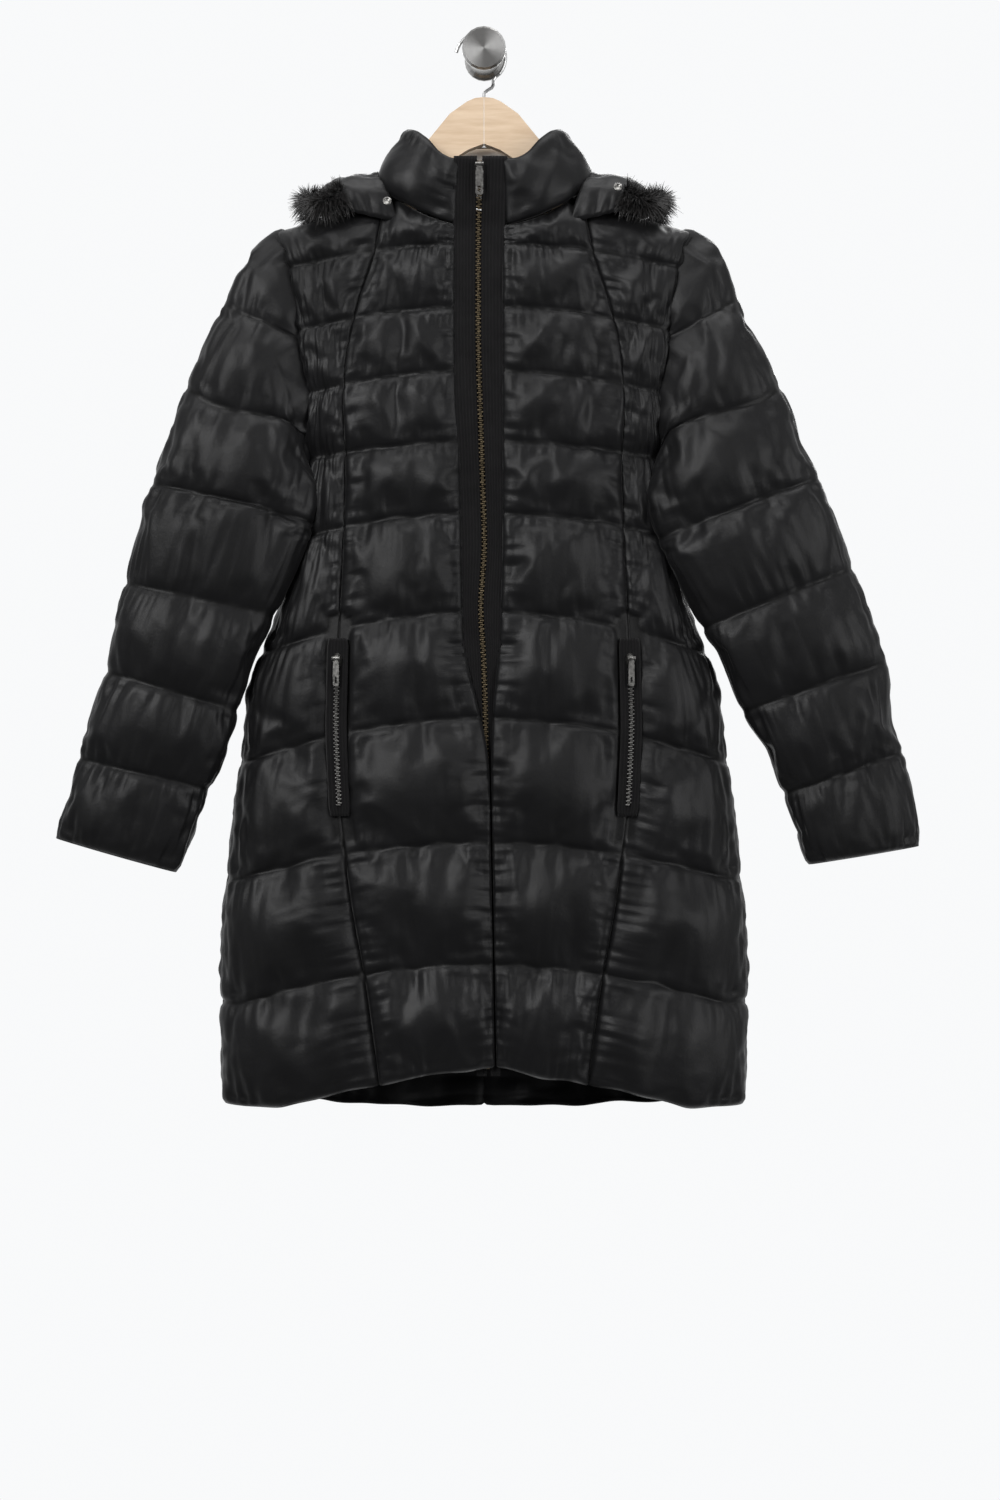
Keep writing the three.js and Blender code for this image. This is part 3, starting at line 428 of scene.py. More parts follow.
# along the arm, round it in turns, how far it runs, half width, depth
SLEEVE_FOLDS = [
    (1.6, 0.10, 1.5, 0.020, 5.0), (2.4, 0.17, 1.8, 0.020, 5.0), (3.6, 0.28, 1.6, 0.024, 4.5),
    (5.6, 0.14, 1.2, 0.020, 4.0), (6.4, 0.34, 1.3, 0.022, 4.5), (7.6, 0.22, 1.1, 0.018, 4.0),
    (9.2, 0.12, 1.0, 0.020, 3.0), (10.6, 0.30, 1.2, 0.022, 3.0), (12.6, 0.16, 0.9, 0.018, 3.5),
    (13.2, 0.27, 0.8, 0.018, 3.5), (3.0, 0.70, 1.8, 0.024, 4.0), (7.0, 0.78, 1.5, 0.022, 4.0),
    (11.0, 0.68, 1.4, 0.022, 3.5),
]

def sleeve(name, sign):
    table, seams = SLEEVES[sign], SLEEVE_SEAMS[sign]
    lengths = [abs(at_row(table, 1, b[0]) - at_row(table, 1, a[0])) for a, b in zip(seams[:-1], seams[1:])]
    counts = rows_of(lengths)
    around = round(350 / GRID)
    def place(u, v):
        band, t = band_at(counts, v)
        angle = 2 * math.pi * u
        inward = (1 - math.cos(angle)) / 2
        # a seam that runs out at the armhole is crowded into its edge
        top, low = (
            max(0.02 * sum(counts[:k]), mix(seams[k][0], seams[k][1], inward ** seams[k][2]))
            for k in (band, band + 1)
        )
        row = mix(top, low, t)
        room = clamp01((low - top) / 0.8)
        edge = abs(math.cos(angle)) ** 6
        deep = 0
        for at, turn, run, wide, depth in SLEEVE_FOLDS:
            off = abs((u - turn - 0.03 * (row - at) + 0.5) % 1 - 0.5)
            along = abs(row - at) / run
            if along < 1:
                deep += depth * (1 - along ** 2) * math.exp(-((off / wide) ** 2))
        base = sleeve_point(sign, row, angle, SEAM_DEEP - deep + EDGE_FULL * edge)
        out = sleeve_point(sign, row, angle, 1) - sleeve_point(sign, row, angle, 0)
        on_seam = min(t, 1 - t) * counts[band] < 0.5
        return base * MM, out.normalized(), 0.8 * swell(t) * room * (1 - 0.6 * edge), on_seam or room < 0.3
    return make_sheet(name, around, sum(counts), place, ring=True)

for side_name, sign in (("left", -1), ("right", 1)):
    front_centre("puffed_front_centre_" + side_name, sign)
    front_side("puffed_front_side_" + side_name, sign)
    back_half("puffed_back_" + side_name, sign)
    sleeve("puffed_sleeve_" + side_name, sign)
print("sheet points:", sum(len(o.data.vertices) for o in padded))

# %% [markdown]
# The collar and the hood are padded too. The collar stands up and leans out, the hood hangs empty
# behind, and its two front corners come forward over the shoulders.

# %% Collar
COLLAR_FRONT_Y = -102
COLLAR_BACK_Y = -44
COLLAR_TOP_X = 78
COLLAR_EDGE = (27, 21)
COLLAR_PUFF = 2.4  # against one on the panels
COLLAR_TOP_FRONT = [(0, -118), (32, -118), (44, -111), (54, -98), (66, -88), (78, -83)]
COLLAR_TOP_BACK = [(0, -96), (60, -99), (78, -83)]

def by_x(table, x):
    return float(np.interp(x, [r[0] for r in table], [r[1] for r in table]))

def collar_point(turn, up, out):
    sine, cosine = math.sin(turn), math.cos(turn)
    front = abs(turn) > math.pi / 2
    side = FRONT if front else BACK
    base_x, top_x = NECK_X * sine, COLLAR_TOP_X * sine
    base = body_point(base_x, top_edge(base_x, side), side, 0) / MM + Vector((0, 0, 2 * SEAM))
    reach = (COLLAR_FRONT_Y if front else COLLAR_BACK_Y) - MID_Y
    top = Vector((top_x, MID_Y + reach * abs(cosine) ** 0.8,
                  by_x(COLLAR_TOP_FRONT if front else COLLAR_TOP_BACK, abs(top_x))))
    away = Vector((sine, -abs(cosine) if front else abs(cosine), 0))
    return base.lerp(top, up) + away * out, away

def collar(name):
    start = -(math.pi - math.asin(COLLAR_EDGE[0] / NECK_X))
    end = math.pi - math.asin(COLLAR_EDGE[1] / NECK_X)
    rows = 14
    def place(u, v):
        turn = mix(start, end, u)
        crease = 3.5 * max(0, math.sin(7.3 * turn + 1.1)) ** 3 * (1 - v)
        base, away = collar_point(turn, v, SEAM_DEEP - crease)
        rise = min(1, min(u, 1 - u) * 14) ** 0.5 * (0.75 + 0.75 * abs(math.sin(turn)) ** 3)
        on_edge = min(v, 1 - v) * rows < 0.5 or min(u, 1 - u) < 1e-4
        return base * MM, away, COLLAR_PUFF * swell(v) * (1.25 - 1.05 * v) * rise, on_edge
    return make_sheet(name, round(420 / GRID), rows, place)

# %% Hood and its corners
HOOD_TOP, HOOD_LOW, HOOD_HALF, HOOD_Y = -172, -352, 128, -30.5
HOOD_ROWS = 30
CORNER_NEAR, CORNER_TOP_NEAR, CORNER_FAR = 85, 104, 163
CORNER_RISE = 19
CORNER_FRONT_LOW, CORNER_BACK_LOW = (-181, -162), -186
CORNER_REACH = {True: 27, False: 25}  # how far it hangs over the front and the back

def hood(name):
    def place(u, v):
        z = mix(HOOD_TOP, HOOD_LOW, v)
        half = HOOD_HALF * (1 - 0.97 * v ** 3) ** (1 / 3) * mix(0.86, 1, clamp01(4 * v))
        s = 2 * u - 1
        band = (v * 3) % 1
        seam = min(band, 1 - band) * HOOD_ROWS / 3 < 0.5
        middle = min(1, abs(s) * 6) ** 0.5
        rise = swell(u) * min(1, 12 * min(v, 1 - v)) ** 0.5 * middle
        base = Vector((half * s, HOOD_Y + 4 + 5 * swell(u) * swell(v), z))
        on_edge = min(u, 1 - u) < 1e-4 or min(v, 1 - v) < 1e-4
        return base * MM, Vector((0, 1, 0)), rise * swell(band) * 0.7, seam or on_edge or abs(s) < 0.01
    return make_sheet(name, round(250 / GRID), HOOD_ROWS, place)

def hood_corner(name, sign):
    rows = 22
    def place(u, v):
        angle = math.pi * v
        x = mix(mix(CORNER_NEAR, CORNER_TOP_NEAR, math.sin(angle)), CORNER_FAR, u)
        front = v < 0.5
        low = mix(*CORNER_FRONT_LOW, u) if front else CORNER_BACK_LOW
        rise = swell(0.1 + 0.8 * u) * swell(0.06 + 0.88 * v)
        def point(out):
            return Vector((sign * x, MID_Y - math.cos(angle) * (CORNER_REACH[front] + out),
                           low + math.sin(angle) ** 0.8 * (ridge(x) + CORNER_RISE - low + out)))
        out = (point(2) - point(1)).normalized()
        on_edge = min(u, 1 - u) < 1e-4 or min(v, 1 - v) < 1e-4
        return point(5 + 2 * rise) * MM, out, rise * 1.1, on_edge
    return make_sheet(name, 14, rows, place)

collar("puffed_collar")
hood("puffed_hood")
for side_name, sign in (("left", -1), ("right", 1)):
    hood_corner("puffed_hood_corner_" + side_name, sign)

# %% [markdown]
# All the sheets are blown up together. The seam points are pinned, the cloth may grow wider than
# its pattern, and pressure lifts it. What would rise too far or sink through the coat is capped.

# %% Blow up the padding
PRESSURE = 5.0
SPARE_CLOTH = -0.035
FRAMES = 28
MOST_OUT = 15.0
MOST_OUT_COLLAR = 26.0
LEAST_OUT = -1.0
MOST_ASIDE = 7.0

def read(mesh, label):
    data = mesh.attributes[label].data
    wide = 3 if mesh.attributes[label].data_type == "FLOAT_VECTOR" else 1
    values = np.zeros(len(data) * wide)
    data.foreach_get("vector" if wide == 3 else "value", values)
    return values.reshape(-1, 3) if wide == 3 else values

def points_of(mesh):
    points = np.zeros(len(mesh.vertices) * 3)
    mesh.vertices.foreach_get("co", points)
    return points.reshape(-1, 3)

def add_cloth(obj):
    held = obj.vertex_groups.new(name="held")
    pinned = read(obj.data, "pinned") > 0.5
    held.add([int(i) for i in np.flatnonzero(pinned)], 1.0, "REPLACE")
    cloth = obj.modifiers.new("cloth", "CLOTH")
    s = cloth.settings
    s.quality = 3
    s.mass = 0.15
    s.vertex_group_mass = "held"
    s.tension_stiffness = 15
    s.compression_stiffness = 12
    s.shear_stiffness = 4
    s.bending_stiffness = 0.12
    s.air_damping = 2
    s.use_pressure = True
    s.uniform_pressure_force = PRESSURE
    s.shrink_min = SPARE_CLOTH
    s.shrink_max = SPARE_CLOTH
    s.effector_weights.gravity = 0
    cloth.collision_settings.use_collision = False
    cloth.collision_settings.use_self_collision = False
    cloth.point_cache.frame_start = 1
    cloth.point_cache.frame_end = FRAMES

def take_shape(obj, points):
    mesh = obj.data
    base, out = read(mesh, "base"), read(mesh, "out")
    moved = points - base
    rise = np.einsum("ij,ij->i", moved, out)
    aside = moved - out * rise[:, None]
    far = np.linalg.norm(aside, axis=1)
    aside *= np.minimum(1, MOST_ASIDE * MM / np.maximum(far, 1e-9))[:, None]
    most = MOST_OUT_COLLAR if obj.name == "puffed_collar" else MOST_OUT
    rise = np.clip(rise, LEAST_OUT * MM, most * MM)
    mesh.vertices.foreach_set("co", (base + aside + out * rise[:, None]).ravel())
    mesh.update()

scene = bpy.context.scene
for obj in padded:
    add_cloth(obj)
for step in range(1, FRAMES + 1):
    scene.frame_set(step)
graph = bpy.context.evaluated_depsgraph_get()
shapes = [points_of(obj.evaluated_get(graph).data) for obj in padded]
for obj, shape in zip(padded, shapes):
    obj.modifiers.clear()
    obj.vertex_groups.clear()
    take_shape(obj, shape)
scene.frame_set(1)
print("padding blown up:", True)

# %% [markdown]
# One subdivision gives the finer grid that the smallest gathers need. They run square to the
# seams, strongest where the stitching pulls, and fade out over the rise. Then the cloth gets its
# thickness.

# %% Gathers and thickness
# width and length of the waves along the pattern, how it is turned, height, and whether it is sharp
PUCKERS = (8.5, 60, 0.0, 2.0, True)
GATHERS = (23, 120, 0.0, 2.4, False)
DRAGS = (31, 100, 0.62, 2.0, True)
CRUMPLES = (44, 44, 0.0, 1.2, False)
SIDE_PUCKERS = (60, 9.5, 0.0, 2.2, True)  # these run across the upright seams
STITCH_DEEP = 1.4
WALL_MM = 1.6

def finer(obj, levels=1):
    made = obj.modifiers.new("finer", "SUBSURF")
    made.levels = levels
    made.render_levels = levels
    graph = bpy.context.evaluated_depsgraph_get()
    mesh = bpy.data.meshes.new_from_object(obj.evaluated_get(graph))
    obj.modifiers.clear()
    obj.data = mesh

def wave(p, wide, long, turned, high, sharp):
    c, sn = math.cos(turned), math.sin(turned)
    across, along = p[0] * c + p[2] * sn, p[2] * c - p[0] * sn
    value = noise.noise(Vector((across / wide, p[1] / wide + 3.7 * high, along / long)))
    return high * (0.55 - 2.2 * abs(value) if sharp else 1.5 * value)

def gather(obj):
    mesh = obj.data
    points = points_of(mesh)
    out, flat = read(mesh, "out"), read(mesh, "flat")
    puff = np.clip(read(mesh, "puff"), 0, 1)
    near = np.exp(-((puff - 0.45) / 0.33) ** 2) * np.clip(puff * 12, 0, 1)
    lift = -STITCH_DEEP * np.exp(-(puff / 0.13) ** 2)
    edge = flat[:, 0] if "centre" not in obj.name else np.minimum(flat[:, 0], flat[:, 0].max() - flat[:, 0])
    tube = bool(flat[:, 1].any())
    beside = np.zeros(len(puff)) if tube else np.exp(-(edge / 19) ** 2) * np.clip(puff * 5, 0, 1)
    calm = 0.65 if tube else 1
    for i, p in enumerate(flat):
        if puff[i] > 0.02:
            lift[i] += near[i] * wave(p, *PUCKERS) + beside[i] * wave(p, *SIDE_PUCKERS) + calm * puff[i] * (
                wave(p, *GATHERS) + wave(p, *DRAGS) + wave(p, *CRUMPLES))
    points += out * (lift * MM)[:, None]
    mesh.vertices.foreach_set("co", points.ravel())
    mesh.update()

def close_wall(obj, thickness=WALL_MM):
    wall = obj.modifiers.new("wall", "SOLIDIFY")
    wall.thickness = thickness * MM
    wall.offset = -1
    for polygon in obj.data.polygons:
        polygon.use_smooth = True

for obj in padded:
    finer(obj)
    gather(obj)
    close_wall(obj)
    node = obj.name.replace("puffed_", "")
    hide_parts(node)
    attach(obj, "root")
print("fine points:", sum(len(o.data.vertices) for o in padded))

# %% [markdown]
# The zip is two ribbed bands with a row of brass teeth between them. The bands are thin woven
# tape, so they are sheets of their own. Each tooth is a small bevelled block, copied down the zip
# line on alternate sides.

# %% Zip bands
ZIP_TOP_Z, ZIP_LOW_Z = -116, -1022
TEETH_HALF = 3.3
# the puffed edges close over the zip: heights where it starts and stops sinking, and how far
ZIP_SINK = (-620, -760, 7)
BAND_LEAST = 4

def zip_middle(z):
    return soft(at_height, ZIP_LINE, MIDDLE, z, 14)

def zip_point(x, z, out):
    if z <= NECK_FRONT_Z:
        sink = ZIP_SINK[2] * clamp01((z - ZIP_SINK[0]) / (ZIP_SINK[1] - ZIP_SINK[0]))
        return body_point(x, z, FRONT, 0) + Vector((0, sink - out, 0)) * MM
    up = (z - NECK_FRONT_Z) / (ZIP_TOP_Z - NECK_FRONT_Z)
    low = body_point(x, NECK_FRONT_Z, FRONT, 0).y / MM
    return Vector((x, mix(low, COLLAR_FRONT_Y + 2, up) - out, z)) * MM

def sheet_from(name, across, up, place):
    bm = bmesh.new()
    bmesh.ops.create_grid(bm, x_segments=across, y_segments=up, size=0.5)
    uv = bm.loops.layers.uv.new("weave")
    at = {}
    for v in bm.verts:
        at[v.index] = (clamp01(v.co.x + 0.5), clamp01(v.co.y + 0.5))
        v.co = place(*at[v.index])
    bm.verts.index_update()
    for face in bm.faces:
        for loop in face.loops:
            loop[uv].uv = at[loop.vert.index]
    bm.normal_update()
    if sum(f.normal.y for f in bm.faces) > 0:
        bmesh.ops.reverse_faces(bm, faces=bm.faces)
    mesh = bpy.data.meshes.new(name)
    bm.to_mesh(mesh)
    bm.free()
    mesh.polygons.foreach_set("use_smooth", [True] * len(mesh.polygons))
    obj = bpy.data.objects.new(name, mesh)
    bpy.context.scene.collection.objects.link(obj)
    return obj

def zip_band(name, sign):
    def place(u, v):
        z = mix(ZIP_LOW_Z, ZIP_TOP_Z, v)
        start = zip_middle(z) + sign * (TEETH_HALF - 0.6)
        end = soft(at_height, ZIP_LINE, BAND_EDGE[sign], z, 14) + sign * 2.5
        if sign * (end - start) < BAND_LEAST:
            end = start + sign * BAND_LEAST
        ripple = 0.7 * math.sin(z / 23 + sign) * math.sin(math.pi * u)
        edge = 1.2 * (1 - smooth(u * 6))
        return zip_point(mix(start, end, u), z, 1.1 + ripple + edge)
    obj = sheet_from(name, 16, 220, place)
    close_wall(obj, 0.8)
    return obj

for side_name, sign in (("left", -1), ("right", 1)):
    band = zip_band("ribbed_band_" + side_name, sign)
    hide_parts("zip_band_" + side_name)
    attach(band, "root")

# %% Brass teeth
TOOTH_GAP = 2.1
TOOTH_REACH = 4.2
TOOTH_BEVEL = 0.26
CHAIN_TOP_Z, CHAIN_LOW_Z = -136, -1016

def many(name, count, add_one, batch=150):
    # adding to a large mesh is slow, so the copies are made in small batches and then joined
    whole = bmesh.new()
    for first in range(0, count, batch):
        bm = bmesh.new()
        for i in range(first, min(count, first + batch)):
            add_one(bm, i)
        part = bpy.data.meshes.new("batch")
        bm.to_mesh(part)
        bm.free()
        whole.from_mesh(part)
        bpy.data.meshes.remove(part)
    mesh = bpy.data.meshes.new(name)
    whole.to_mesh(mesh)
    whole.free()
    obj = bpy.data.objects.new(name, mesh)
    bpy.context.scene.collection.objects.link(obj)
    return obj

def teeth_down(name, middle, point, top, low, gap, reach):
    # one bevelled block, copied on alternate sides of the middle line
    def tooth(bm, i):
        z = top - gap * i
        hand = 1 if i % 2 else -1
        made = bmesh.ops.create_cube(bm, size=MM)["verts"]
        bmesh.ops.scale(bm, vec=(reach, 1.7, gap * 0.6), verts=made)
        for v in made:
            if hand * v.co.x < 0:
                v.co.z *= 1.25
        bmesh.ops.translate(bm, vec=point(middle(z) + hand * reach * 0.17, z), verts=made)
        edges = list({e for v in made for e in v.link_edges})
        bmesh.ops.bevel(bm, geom=edges, offset=TOOTH_BEVEL * MM, segments=1, affect="EDGES",
                        profile=0.5, material=-1)
    return many(name, int((top - low) / gap), tooth)

teeth = teeth_down("brass_teeth_row", zip_middle, lambda x, z: zip_point(x, z, 2.4),
                   CHAIN_TOP_Z, CHAIN_LOW_Z, TOOTH_GAP, TOOTH_REACH)
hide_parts("zip_chain")
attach(teeth, "root")
print("teeth faces:", len(teeth.data.polygons))

# %% Pocket zips
POCKET_SLIDER_Z = -614
POCKET_END = 9  # plain tape past the last tooth
POCKET_TOOTH_GAP = 1.9
POCKET_TAPE_HALF = 10.5

def pocket_tape(name, sign):
    def place(u, v):
        z = mix(POCKET_LOW_Z, POCKET_TOP_Z, v)
        s = 2 * u - 1
        half = POCKET_TAPE_HALF * (1 - 0.12 * smooth((abs(2 * v - 1) - 0.9) * 10))
        lift = CLOTH + 1.2 + 1.1 * smooth((abs(s) - 0.15) * 3) - 1.4 * smooth((abs(s) - 0.75) * 4)
        return body_point(sign * princess_x(z) + s * half, z, FRONT, lift)
    obj = sheet_from(name, 18, 60, place)
    close_wall(obj, 0.9)
    return obj

for side_name, sign in (("left", -1), ("right", 1)):
    tape = pocket_tape("pocket_welt_" + side_name, sign)
    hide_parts("pocket_tape_" + side_name)
    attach(tape, "root")
    row = teeth_down("pocket_teeth_" + side_name, lambda z: sign * princess_x(z),
                     lambda x, z: body_point(x, z, FRONT, CLOTH + 2.2),
                     POCKET_SLIDER_Z - POCKET_END, POCKET_LOW_Z + POCKET_END, POCKET_TOOTH_GAP, TOOTH_REACH)
    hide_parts("pocket_chain_" + side_name)
    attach(row, "root")

# %% Satin patch inside the collar
PATCH_TURN = 0.42  # how far it runs to each side, in radians round the neck
PATCH_UP = (0.12, 0.97)  # the share of the collar's height where it starts and ends
PATCH_OUT = -2.6

def neck_patch(name):
    def place(u, v):
        turn = mix(-PATCH_TURN, PATCH_TURN, u)
        inside = PATCH_OUT + 0.25 * math.sin(11 * turn + 3 * v)
        return collar_point(turn, mix(*PATCH_UP, v), inside)[0] * MM
    obj = sheet_from(name, 24, 12, place)
    close_wall(obj, 0.5)
    return obj

patch = neck_patch("satin_patch")
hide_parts("neck_patch")
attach(patch, "root")

# %% [markdown]
# Fur is thousands of short tapered locks. Each is a cone with three sides, bent by moving its
# tip, and they are all one mesh round the rim of the hood.

# %% Fur
FUR_PATH = [
    (140, -92, -150), (159, -93, -159), (175, -66, -152), (175, -34, -154), (168, -19, -190),
    (156, -17, -250), (140, -17, -310), (100, -17, -356), (50, -17, -372),
]
FUR_LOCKS = 9000
FUR_LONGEST = 22
random = np.random.default_rng(7)

def along_path(points, t):
    # a smooth curve through the points, and its direction
    place = t * (len(points) - 1)
    i = min(int(place), len(points) - 2)
    f = place - i
    p = [points[max(0, i - 1)], points[i], points[i + 1], points[min(len(points) - 1, i + 2)]]
    def value(f):
        return 0.5 * (2 * p[1] + (p[2] - p[0]) * f + (2 * p[0] - 5 * p[1] + 4 * p[2] - p[3]) * f * f
                      + (3 * p[1] - p[0] - 3 * p[2] + p[3]) * f ** 3)
    return value(f), (value(f + 0.01) - value(f - 0.01)).normalized()

def fur(name):
    half = [Vector(p) for p in FUR_PATH]
    points = half + [Vector((0, -17, -376))] + [Vector((-p.x, p.y, p.z)) for p in reversed(half)]
    def lock(bm, i):
        t = random.beta(0.55, 0.55)  # denser at the two ends, which show
        at, ahead = along_path(points, t)
        turn = random.uniform(0, 2 * math.pi)
        side = ahead.cross(Vector((0, 0, 1))).normalized()
        over = side.cross(ahead).normalized()
        away = side * math.cos(turn) + over * math.sin(turn)
        root = at + away * random.uniform(1, 4)
        lean = ahead * random.uniform(-0.8, 0.8) + Vector((0, 0, -0.45)) + side * random.uniform(-0.3, 0.3)
        long = random.triangular(8, 12, FUR_LONGEST)
        if at.y > -30:
            away.y *= 0.55
        direction = (away + lean * 0.55).normalized()
        wide = random.uniform(0.45, 0.8)
        made = bmesh.ops.create_cone(
            bm, segments=3, radius1=wide * MM, radius2=0.1 * MM, depth=long * MM)["verts"]
        twist = direction.to_track_quat("Z", "Y").to_matrix()
        for v in made:
            bent = Vector((0, 0, -0.25 * long * MM)) if v.co.z > 0 else Vector()
            v.co = twist @ (v.co + Vector((0, 0, long * MM / 2))) + bent + root * MM
            v.co.y = min(v.co.y, -2.5 * MM)
    return many(name, FUR_LOCKS, lock)

trim = fur("fur_locks")
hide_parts("fur_trim")
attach(trim, "root")
print("fur faces:", len(trim.data.polygons))

# %% Hood snaps
SNAPS = {"left": (-95, -162, -107), "right": (132, -148, -106)}  # x, z, y
# radius and height of the points that are spun into a domed cap with a ring
SNAP_OUTLINE = [
    (0, 0), (3.6, 0), (4.4, 0.4), (4.6, 1.0), (4.1, 1.6), (3.2, 1.8), (2.7, 1.3), (2.3, 1.0), (0, 0.9),
]

def snap(name, x, z, y):
    bm = bmesh.new()
    verts = [bm.verts.new(Vector((r, 0, h)) * MM) for r, h in SNAP_OUTLINE]
    edges = [bm.edges.new(pair) for pair in zip(verts[:-1], verts[1:])]
    bmesh.ops.spin(bm, geom=verts + edges, cent=(0, 0, 0), axis=(0, 0, 1), angle=2 * math.pi, steps=32,
                   use_merge=True)
    bmesh.ops.remove_doubles(bm, verts=bm.verts, dist=1e-6)
    bmesh.ops.recalc_face_normals(bm, faces=bm.faces)
    facing = Vector((0, -1, 0.35)).normalized().to_track_quat("Z", "Y").to_matrix()
    for v in bm.verts:
        v.co = facing @ v.co + Vector((x, y, z)) * MM
    mesh = bpy.data.meshes.new(name)
    bm.to_mesh(mesh)
    bm.free()
    mesh.polygons.foreach_set("use_smooth", [True] * len(mesh.polygons))
    obj = bpy.data.objects.new(name, mesh)
    bpy.context.scene.collection.objects.link(obj)
    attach(obj, "root")

for side_name, at in SNAPS.items():
    snap("hood_snap_" + side_name, *at)

# %% [markdown]
# Materials are small networks of nodes. A tiny class lets their sums be written as Python
# expressions, and one method adds any other node.

# %% Node helper
class Socket:
    def __init__(self, tree, link):
        self.tree, self.link = tree, link

    def math(self, operation, *others):
        return node(self.tree, "ShaderNodeMath", {"operation": operation},
                    dict(enumerate([self, *others])))

    def __add__(self, other):
        return self.math("ADD", other)

    def __mul__(self, other):
        return self.math("MULTIPLY", other)

    __radd__ = __add__
    __rmul__ = __mul__

def node(tree, kind, settings=(), values=(), out=0):
    made = tree.nodes.new(kind)
    for key, value in dict(settings).items():
        if key == "stops":
            stops = made.color_ramp.elements
            while len(stops) < len(value):
                stops.new(0.5)
            for element, (at, colour) in zip(stops, value):
                element.position = at
                element.color = (*colour, 1) if len(colour) == 3 else colour
        else:
            setattr(made, key, value)
    for key, value in dict(values).items():
        if isinstance(value, Socket):
            tree.links.new(value.link, made.inputs[key])
        else:
            made.inputs[key].default_value = value
    return Socket(tree, made.outputs[out])

def material(name, **sockets):
    made = bpy.data.materials.new(name)
    made.use_nodes = True
    shader = made.node_tree.nodes["Principled BSDF"]
    for key, value in sockets.items():
        shader.inputs[key.replace("_", " ")].default_value = value
    return made, made.node_tree, shader

def feed(tree, shader, **sockets):
    for key, value in sockets.items():
        tree.links.new(value.link, shader.inputs[key.replace("_", " ")])

def place_of(tree, scale=(1, 1, 1)):
    at = node(tree, "ShaderNodeTexCoord", out="Object")
    return node(tree, "ShaderNodeMapping", values={"Vector": at, "Scale": scale})

def noise_of(tree, vector, scale, detail=3.0, rough=0.55):
    return node(tree, "ShaderNodeTexNoise", values={
        "Vector": vector, "Scale": scale, "Detail": detail, "Roughness": rough})

def ramp(tree, value, *stops):
    return node(tree, "ShaderNodeValToRGB", {"stops": stops}, {"Fac": value})

def bump(tree, height, strength, distance, after=None):
    values = {"Height": height, "Strength": strength, "Distance": distance}
    if after is not None:
        values["Normal"] = after
    return node(tree, "ShaderNodeBump", values=values)

# %% Black quilted nylon
def nylon():
    made, tree, shader = material("black_nylon", IOR=1.5, Sheen_Weight=0.05, Sheen_Roughness=0.4,
                                  Specular_IOR_Level=0.21)
    at = place_of(tree)
    cloudy = noise_of(tree, at, 9.0)
    puff = node(tree, "ShaderNodeAttribute", {"attribute_name": "puff"}, out="Fac")
    # painted shade: the base colour goes to black along the quilt seams, where the grooves lie in shade
    seam_groove_shade = ramp(tree, puff, (0.0, (0.0, 0.0, 0.0)), (0.16, (1.0, 1.0, 1.0)))
    tone = ramp(tree, cloudy * seam_groove_shade, (0.0, (0.0008, 0.0008, 0.0009)), (0.3, (0.0035, 0.0035, 0.0038)),
                (0.7, (0.0065, 0.0065, 0.0070)))
    rough = ramp(tree, cloudy + puff * 0.08, (0.35, (0.50, 0.50, 0.50)), (0.75, (0.40, 0.40, 0.40)))
    crinkle = bump(tree, noise_of(tree, at, 55.0, 4.0, 0.6), 0.3, 0.0012)
    fine = bump(tree, noise_of(tree, at, 190.0, 3.0), 0.30, 0.0005, crinkle)
    across = node(tree, "ShaderNodeTexWave", {"bands_direction": "X"}, {"Vector": at, "Scale": 900.0})
    down = node(tree, "ShaderNodeTexWave", {"bands_direction": "Z"}, {"Vector": at, "Scale": 900.0})
    weave = bump(tree, across * down, 0.12, 0.0002, fine)
    feed(tree, shader, Base_Color=tone, Roughness=rough, Normal=weave)
    return made

def ribbed_tape():
    made, tree, shader = material("ribbed_tape", Sheen_Weight=0.05, Sheen_Roughness=0.5,
                                  Specular_IOR_Level=0.12)
    along = node(tree, "ShaderNodeUVMap", {"uv_map": "weave"})
    ribs = node(tree, "ShaderNodeTexWave", {"bands_direction": "X"}, {
        "Vector": along, "Scale": 2.2, "Detail": 0.0})
    at = place_of(tree)
    threads = node(tree, "ShaderNodeTexWave", {"bands_direction": "Z"}, {"Vector": at, "Scale": 330.0})
    tone = ramp(tree, ribs * 0.6 + threads * 0.4,
                (0.0, (0.0025, 0.0025, 0.0027)), (1.0, (0.0075, 0.007, 0.0075)))
    rough = ramp(tree, noise_of(tree, at, 60.0), (0.3, (0.72, 0.72, 0.72)), (0.7, (0.9, 0.9, 0.9)))
    first = bump(tree, ribs, 0.8, 0.0008)
    feed(tree, shader, Base_Color=tone, Roughness=rough, Normal=bump(tree, threads, 0.5, 0.0003, first))
    return made

def fur_hair():
    made, tree, shader = material("dark_fur", Sheen_Weight=0.1, Sheen_Roughness=0.4, Specular_IOR_Level=0.5)
    at = place_of(tree)
    tone = ramp(tree, noise_of(tree, at, 120.0),
                (0.3, (0.003, 0.0027, 0.0027)), (0.75, (0.016, 0.014, 0.0135)))
    rough = ramp(tree, noise_of(tree, at, 300.0), (0.3, (0.42, 0.42, 0.42)), (0.7, (0.62, 0.62, 0.62)))
    feed(tree, shader, Base_Color=tone, Roughness=rough)
    return made

def metal(name, light, dark, rough_low, rough_high, grain=(1, 1, 1), scale=160.0):
    made, tree, shader = material(name, Metallic=1.0)
    at = place_of(tree, grain)
    worn = noise_of(tree, at, scale)
    tone = ramp(tree, worn, (0.3, dark), (0.7, light))
    rough = ramp(tree, worn, (0.3, (rough_low,) * 3), (0.7, (rough_high,) * 3))
    feed(tree, shader, Base_Color=tone, Roughness=rough, Normal=bump(tree, worn, 0.15, 0.0002))
    return made

